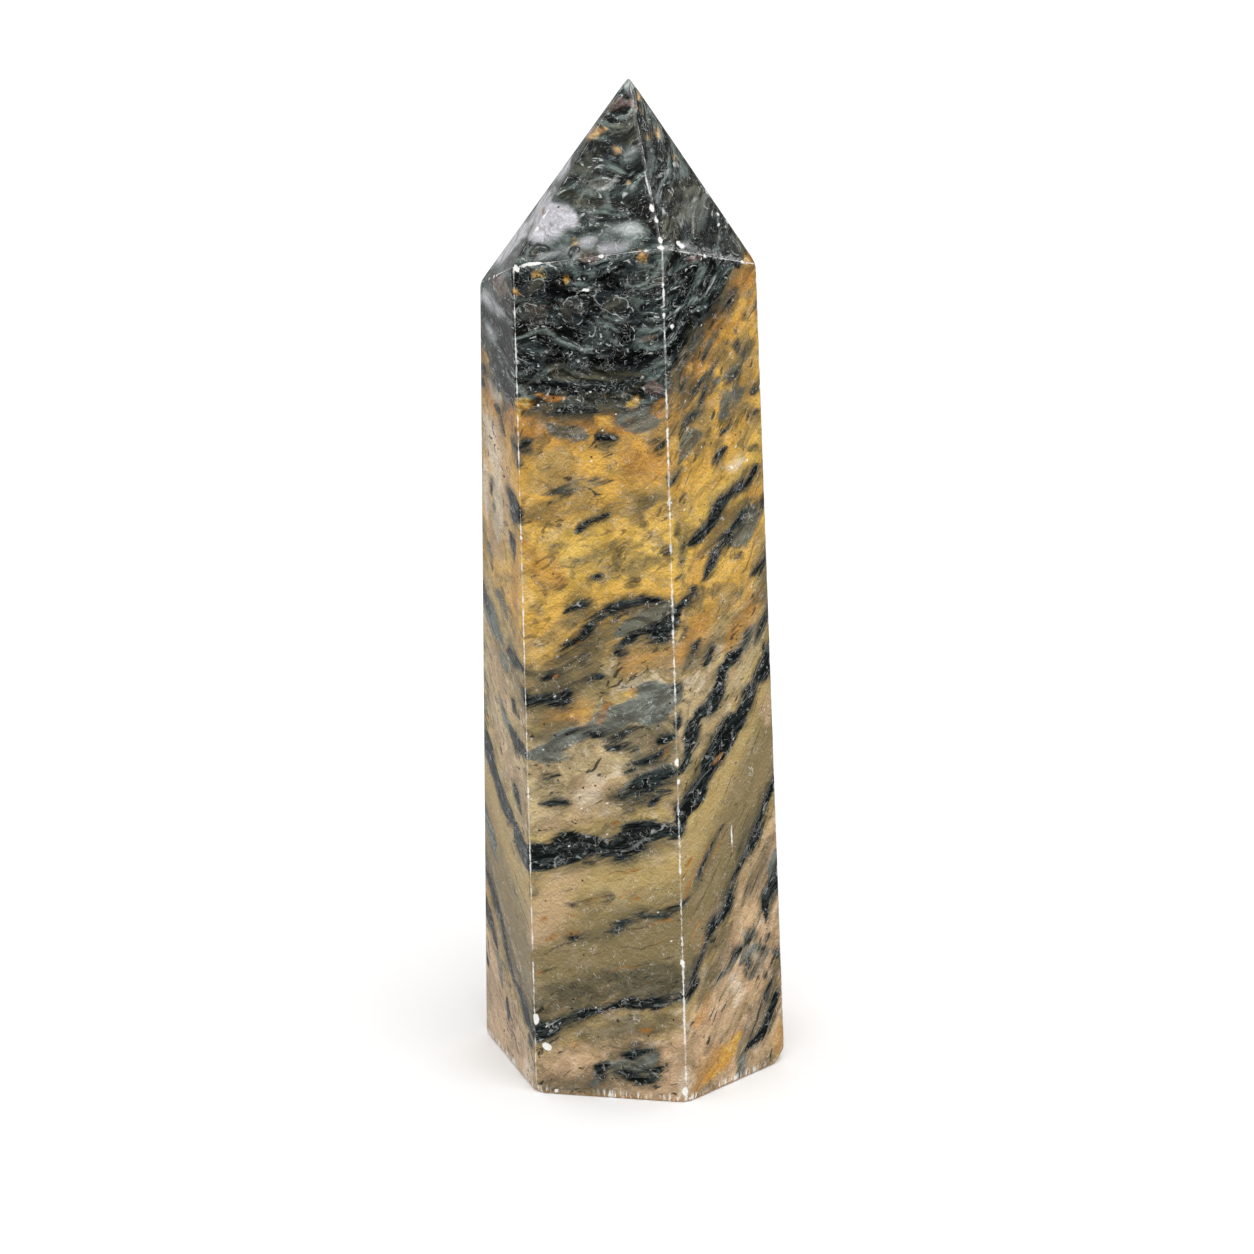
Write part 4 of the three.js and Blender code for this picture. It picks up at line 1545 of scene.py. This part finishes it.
    def add_greys_and_ochres(self):
        """The grey-green bands and the patches of ochre."""
        slate = self.blend(self.smooth(self.flows, 0.35, 0.65), "gloom", "slate")
        slate = self.blend(0.1, slate, "mist_and_gleam")
        slate = self.blend(self.times(self.golden, 0.4), slate, "dusk")
        self.greys = self.cover("grey", self.frayed, 2.2, 0.4, 0.1)
        self.lay(self.greys, slate, 0.88)
        ochre = self.blend(self.smooth(self.rough, 0.3, 0.7), "rust", "amber")
        ochre = self.blend(self.smooth(self.height, 84.0, 90.0, 0.0, 0.5), ochre, "blush")
        self.lay(self.cover("gold", self.rough, 1.6, 0.5), ochre, 0.85)

    def add_veins(self):
        """The black veins, each inside its soot, and that inside a halo of dark olive."""
        self.lay(self.cover("dark", self.billow, 3.0, 0.9, 0.45), "dusk", 0.7)
        self.lay(self.cover("dark", self.frayed, 3.4, 0.4, 0.22), "charcoal", 0.68)
        vein = self.blend(self.smooth(self.fibres, 0.44, 0.62, 0.1, 0.9), "black", "gloom")
        self.darks = self.cover("dark", self.frayed, 2.3, 0.2, self.line(self.golden, -0.15, 0.08))
        self.lay(self.darks, vein, 0.97)

    def add_clasts_and_threads(self):
        """The rose, lavender and dark clasts, the thin rust lines and the pale wisps."""
        rose = self.blend(self.smooth(self.rough, 0.3, 0.7), "umber", "rose")
        self.lay(self.cover("rose", self.billow, 2.0, 0.3), rose, 0.85)
        inside = self.attribute("pale")
        clast = self.blend(self.smooth(inside, -0.1, 0.9), "slate", "lavender")
        clast = self.blend(self.smooth(self.rough, 0.5, 0.75, 0.0, 0.6), clast, "rose")
        self.pales = self.cover("pale", self.billow, 1.8, 0.5)
        self.lay(self.pales, clast, 0.9)
        broken = self.smooth(self.billow, 0.4, 0.58, 0.5, 0.9)
        threads = self.cover("thread", self.frayed, 0.5, 0.16, 0.08)
        self.lay(threads, self.blend(0.45, "rust", "umber"), broken)
        inside = self.attribute("pebble")
        pebble = self.blend(self.smooth(self.billow, 0.4, 0.6, 0.5, 1.0), "umber", "gloom")
        pebble = self.blend(self.smooth(self.flows, 0.4, 0.62), "charcoal", pebble)
        pebble = self.blend(self.smooth(inside, 0.3, 0.0, 0.0, 0.9), pebble, "black")
        self.pebbles = self.covers("pebble", self.billow, 0.8, 0.12, inset=0.25)
        self.lay(self.pebbles["Mask"], pebble, 0.9)
        self.lay(self.cover("wisp_and_highlight", self.frayed, 0.9, 0.2), "mist_and_gleam", 0.5)

    def add_ripples(self):
        """Painted light and shade for the ripples: lighter on their upper sides and darker on their
        lower ones, and thin painted highlights (gleams) where they are steep. Inked is how much
        they
        show: most in the dark top, and less on clasts and on the haze with its painted reflection."""
        inked = self.most(self.top, self.times(self.darks, 0.6))
        inked = self.most(inked, self.times(self.greys, 0.4))
        for cover, less in ((self.pebbles["Mask"], 0.4), (self.pales, 0.7), (self.haze_and_reflection, 0.55)):
            inked = self.times(inked, self.line(cover, -less, 1.0))
        self.inked = inked
        # Painted shade: the ripples' upper sides are lightened and their lower sides darkened, as
        # if lit from above.
        painted_leather_shade = self.smooth(self.leather["Lit"], -0.12, 0.12, 0.84, 1.16)
        painted_ripple_shade = self.smooth(self.waves["Lit"], -0.1, 0.1, 0.4, 1.7)
        painted_ripple_shade = self.plus(1.0, self.times(self.minus(painted_ripple_shade, 1.0), inked))
        self.shade(self.times(painted_leather_shade, painted_ripple_shade))
        rims = self.times(self.pebbles["Line"], self.smooth(self.rough, 0.47, 0.57))
        self.lay(rims, "mist_and_gleam", 0.5)
        # Painted highlights: thin pale gleams along the ripples' crests.
        crest = self.close_to(self.flows, 0.53, 0.022, 0.004)
        gleams = self.times(crest, self.smooth(self.rough, 0.53, 0.62))
        self.lay(gleams, "mist_and_gleam", self.times(inked, 0.9))
        strands = self.close_to(self.fibres, 0.57, 0.02, 0.004)
        strands = self.times(strands, self.smooth(self.billow, 0.5, 0.4))
        self.lay(strands, "mist_and_gleam", self.times(inked, 0.25))

    def add_hairlines(self):
        """Fine crackle in the veins, curls everywhere, painted highlight arcs in the dark top, and
        lines of umber outside the calm bands."""
        hairlines = hairline_group()
        arched = self.stretched(self.mild, 0.8, 1.2)
        everywhere = 1.0
        for vector, scale, width, bend, share, where, tone_name, strength in (
            (self.spot, 1.0, 0.02, 0.8, 0.6, self.darks, "mist_and_gleam", 0.3),
            (self.spot, 1.0, 0.014, 1.4, 0.5, everywhere, "bruise_and_glint", 0.36),
            # painted highlights: short pale arcs in the dark top
            (arched, 0.8, 0.018, 1.8, 0.55, self.top, "mist_and_gleam", 0.3),
            (self.loose, 0.9, 0.014, 1.6, 0.5, self.busy, "umber", 0.5),
        ):
            lines = self.mask(hairlines, Vector=vector, Scale=scale, Width=width, Bend=bend,
                              Share=share)
            self.lay(self.times(lines, where), tone_name, strength)

    def add_specks(self):
        """Black pits, and white specks that are painted glints."""
        specks = speck_group()
        self.pits = self.mask(specks, Vector=self.spot, Scale=0.8, Size=0.13, Share=0.3)
        self.lay(self.pits, "black", 0.85)
        # Painted glints: small white specks that stand for sparkles of reflected light.
        flattened = self.stretched(self.layers, 0.8, 1.2)
        painted_glints = self.mask(specks, Vector=flattened, Scale=1.0, Size=0.13, Share=0.12)
        self.lay(painted_glints, "bruise_and_glint", 0.8)

    def add_bruises(self):
        """Bruises, worn edges with painted edge highlights, the scuffs that rise from the rim of
        the base, and a band of painted shade and warm glow along the very foot.
        """
        chips = self.cover("chip", self.rough, 0.4, 0.06)
        # Worn edges: a whitish line along every edge, part real wear and part painted highlight
        # where the rounded edges catch the light.
        width = self.smooth(self.noise(self.spot, 0.9, 4.0, 0.8), 0.38, 0.64, 0.0, 0.15)
        edge = self.attribute("edge")
        worn_and_shine = self.smooth(edge, self.plus(width, 0.01), self.times(width, 0.3))
        worn_and_shine = self.times(worn_and_shine, self.smooth(self.noise(self.spot, 0.6, 2.0), 0.4, 0.58, 0.2, 0.9))
        upright = self.noise(self.stretched(self.spot, 3.6, 0.5), 1.0, 2.0)
        patches = self.noise(self.spot, 0.16, 1.0)
        scuffs = self.times(self.smooth(upright, 0.48, 0.6), self.smooth(self.height, 1.1, 0.4))
        scuffs = self.times(scuffs, self.smooth(patches, 0.42, 0.52, 0.1, 0.9))
        self.bare_and_shine = self.most(self.most(chips, scuffs), worn_and_shine)
        # Painted shade and warm glow: a golden-brown band along the very foot, where the stone
        # meets the floor.
        foot = self.smooth(self.height, 0.5, 0.1)
        self.lay(foot, "flush", self.smooth(patches, 0.42, 0.55, 0.4, 0.75))
        self.lay(self.bare_and_shine, "bruise_and_glint", 0.9)

    def add_crumb(self):
        """Fine grain over all."""
        self.crumb = self.noise(self.spot, 7.0, 2.0, 0.6)
        self.shade(self.smooth(self.crumb, 0.25, 0.75, 0.88, 1.1))

    def relief(self):
        """The bump's height: ripples, more of them in the dark top, fine grain, pits and rough
        bruises."""
        height = self.line(self.leather["Height"], 0.3, self.flows)
        height = self.times(height, self.line(self.inked, 0.7, 0.3))
        height = self.line(self.crumb, 0.02, height)
        height = self.line(self.pits, -0.3, height)
        return self.line(self.bare_and_shine, self.minus(self.rough, 0.5), height)


def stone_material(tones, finish):
    """Polished banded jasper: its layers are laid one over the other."""
    material = bpy.data.materials.new("polished_jasper")
    material.use_nodes = True
    material.node_tree.nodes.clear()
    stone = Jasper(material.node_tree, tones)
    stone.add_clouds()
    stone.add_rust_threads()
    stone.add_soft_marks()
    stone.vary_depth()
    stone.add_dark_top()
    stone.add_streaklets()
    stone.add_haze_and_reflection()
    stone.add_greys_and_ochres()
    stone.add_veins()
    stone.add_clasts_and_threads()
    stone.add_ripples()
    stone.add_hairlines()
    stone.add_specks()
    stone.add_bruises()
    stone.add_crumb()
    bump = stone.add(
        "ShaderNodeBump", {"Strength": 0.7, "Distance": 0.2 * MM, "Height": stone.relief()}
    )
    shader = stone.add("ShaderNodeBsdfPrincipled", {
        "Base Color": stone.body,
        "Roughness": stone.line(stone.bare_and_shine, 0.4, finish.gloss),
        "Normal": bump.outputs["Normal"],
        "IOR": 1.5,
    })
    stone.add("ShaderNodeOutputMaterial", {"Surface": shader.outputs[0]})
    return material


# The studio

# In metres
MIDDLE = Vector((0, 0, 0.05))  # of the stone
KEY_PLACE = (0.25, -0.35, 1.0)
KEY_WIDTH = 0.8


def plain_material(name, shade):
    material = bpy.data.materials.new(name)
    material.use_nodes = True
    shader = material.node_tree.nodes["Principled BSDF"]
    shader.inputs["Base Color"].default_value = (shade, shade, shade, 1.0)
    shader.inputs["Roughness"].default_value = 0.9
    shader.inputs["Specular IOR Level"].default_value = 0.0
    return material


def add_floor():
    """A flat sheet under the stone. Shiny things don't mirror it: they see the dim room."""
    half = 3.0
    mesh = bpy.data.meshes.new("floor")
    corners = [(-half, -half, 0), (half, -half, 0), (half, half, 0), (-half, half, 0)]
    mesh.from_pydata(corners, [], [(0, 1, 2, 3)])
    mesh.materials.append(plain_material("floor_white", 0.97))
    floor = bpy.data.objects.new("floor", mesh)
    bpy.context.scene.collection.objects.link(floor)
    floor.visible_glossy = False


def add_world(strength):
    """A white dome all round. What shines mirrors a dim room instead: a grey ceiling, a pale
    wall far behind the stone on the left, and strip lights low down in front and on the right."""
    world = bpy.data.worlds.new("studio")
    bpy.context.scene.world = world
    world.use_nodes = True
    tree = world.node_tree
    tree.nodes.clear()
    wires = Wires(tree)
    way = wires.add("ShaderNodeTexCoord").outputs["Generated"]

    def toward(direction):
        inputs = {0: way, 1: direction}
        node = wires.add("ShaderNodeVectorMath", inputs, operation="DOT_PRODUCT")
        return node.outputs["Value"]

    height = toward((0, 0, 1))
    ceiling = wires.smooth(height, -0.1, 0.5, 0.02, 0.25)
    wall = wires.smooth(toward((-0.6, 0.75, -0.28)), 0.905, 0.985, 0.0, 0.35)
    strips = wires.times(wires.smooth(height, 0.02, 0.1), wires.smooth(height, 0.34, 0.26))
    strips = wires.times(strips, wires.smooth(toward((0.8, -0.6, 0)), 0.3, 0.42))
    room = wires.math("MULTIPLY_ADD", strips, 5.0, wires.math("ADD", ceiling, wall))
    shiny = wires.add("ShaderNodeLightPath").outputs["Is Glossy Ray"]
    shade = wires.math("MULTIPLY_ADD", shiny, wires.math("SUBTRACT", room, 1.0), 1.0)
    background = wires.add("ShaderNodeBackground", {"Color": shade, "Strength": strength})
    output = wires.add("ShaderNodeOutputWorld")
    tree.links.new(background.outputs[0], output.inputs["Surface"])


def add_light(name, place, size, power):
    """A soft round light that points at the middle of the stone."""
    data = bpy.data.lights.new(name, "AREA")
    data.shape = "DISK"
    data.size = size
    data.energy = power
    lamp = bpy.data.objects.new(name, data)
    way = Vector(place) - MIDDLE
    lamp.matrix_world = Matrix.Translation(place) @ way.to_track_quat("Z", "Y").to_matrix().to_4x4()
    bpy.context.scene.collection.objects.link(lamp)


def add_camera(studio):
    """The camera: back from the middle of the stone, moved a little aside, and rolled."""
    a, e, roll = studio.azimuth, studio.elevation, studio.roll
    back = Vector((math.sin(a) * math.cos(e), -math.cos(a) * math.cos(e), math.sin(e)))
    right = Vector((math.cos(a), math.sin(a), 0))
    up = back.cross(right)
    eye = MIDDLE + back * studio.distance
    eye += right * studio.aim[0] + up * studio.aim[1]
    turned_right = right * math.cos(roll) + up * math.sin(roll)
    turned_up = up * math.cos(roll) - right * math.sin(roll)
    rows = Matrix((turned_right, turned_up, back)).transposed()
    data = bpy.data.cameras.new("camera")
    data.lens = studio.lens
    data.sensor_width = 36
    data.clip_start = 0.01
    camera = bpy.data.objects.new("camera", data)
    camera.matrix_world = Matrix.Translation(eye) @ rows.to_4x4()
    bpy.context.scene.collection.objects.link(camera)
    bpy.context.scene.camera = camera


class JASPER_OT_add_tower(bpy.types.Operator):
    """Add the polished tower with its banded stone"""

    bl_idname = "jasper.add_tower"
    bl_label = "Polished tower"
    bl_options = {"REGISTER", "UNDO"}

    def execute(self, context):
        scene = context.scene
        mesh = make_stone(scene.stone_shape)
        mesh.materials.append(stone_material(scene.stone_tones, scene.stone_finish))
        piece = bpy.data.objects.new("polished_tower", mesh)
        scene.collection.objects.link(piece)
        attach(piece, "root")
        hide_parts(NODE)
        return {"FINISHED"}


class JASPER_OT_add_stage(bpy.types.Operator):
    """Add the pale floor, the soft light and the camera"""

    bl_idname = "jasper.add_stage"
    bl_label = "Studio"
    bl_options = {"REGISTER", "UNDO"}

    def execute(self, context):
        studio = context.scene.studio
        add_camera(studio)
        add_floor()
        add_world(studio.dome)
        add_light("key", KEY_PLACE, KEY_WIDTH, studio.key)
        context.scene.view_settings.view_transform = "Standard"
        return {"FINISHED"}


class JASPER_PT_panel(bpy.types.Panel):
    """Lists the operators and their settings."""

    bl_label = "Jasper tower"
    bl_idname = "JASPER_PT_panel"
    bl_space_type = "VIEW_3D"
    bl_region_type = "UI"
    bl_category = "Jasper tower"

    def draw(self, context):
        scene = context.scene
        for group in (scene.stone_shape, scene.stone_tones, scene.stone_finish, scene.studio):
            box = self.layout.box()
            for name in group.bl_rna.properties.keys():
                if name not in ("rna_type", "name"):
                    box.prop(group, name)
        self.layout.operator(JASPER_OT_add_tower.bl_idname)
        self.layout.operator(JASPER_OT_add_stage.bl_idname)


CLASSES = (
    StoneTones,
    StoneShape,
    StoneFinish,
    StudioSettings,
    JASPER_OT_add_tower,
    JASPER_OT_add_stage,
    JASPER_PT_panel,
)


def register():
    for cls in CLASSES:
        bpy.utils.register_class(cls)
    bpy.types.Scene.stone_tones = PointerProperty(type=StoneTones)
    bpy.types.Scene.stone_shape = PointerProperty(type=StoneShape)
    bpy.types.Scene.stone_finish = PointerProperty(type=StoneFinish)
    bpy.types.Scene.studio = PointerProperty(type=StudioSettings)


def unregister():
    for name in ("stone_tones", "stone_shape", "stone_finish", "studio"):
        delattr(bpy.types.Scene, name)
    for cls in reversed(CLASSES):
        bpy.utils.unregister_class(cls)


def main():
    register()
    bpy.ops.jasper.add_stage()
    bpy.ops.jasper.add_tower()


if __name__ == "__main__":
    main()
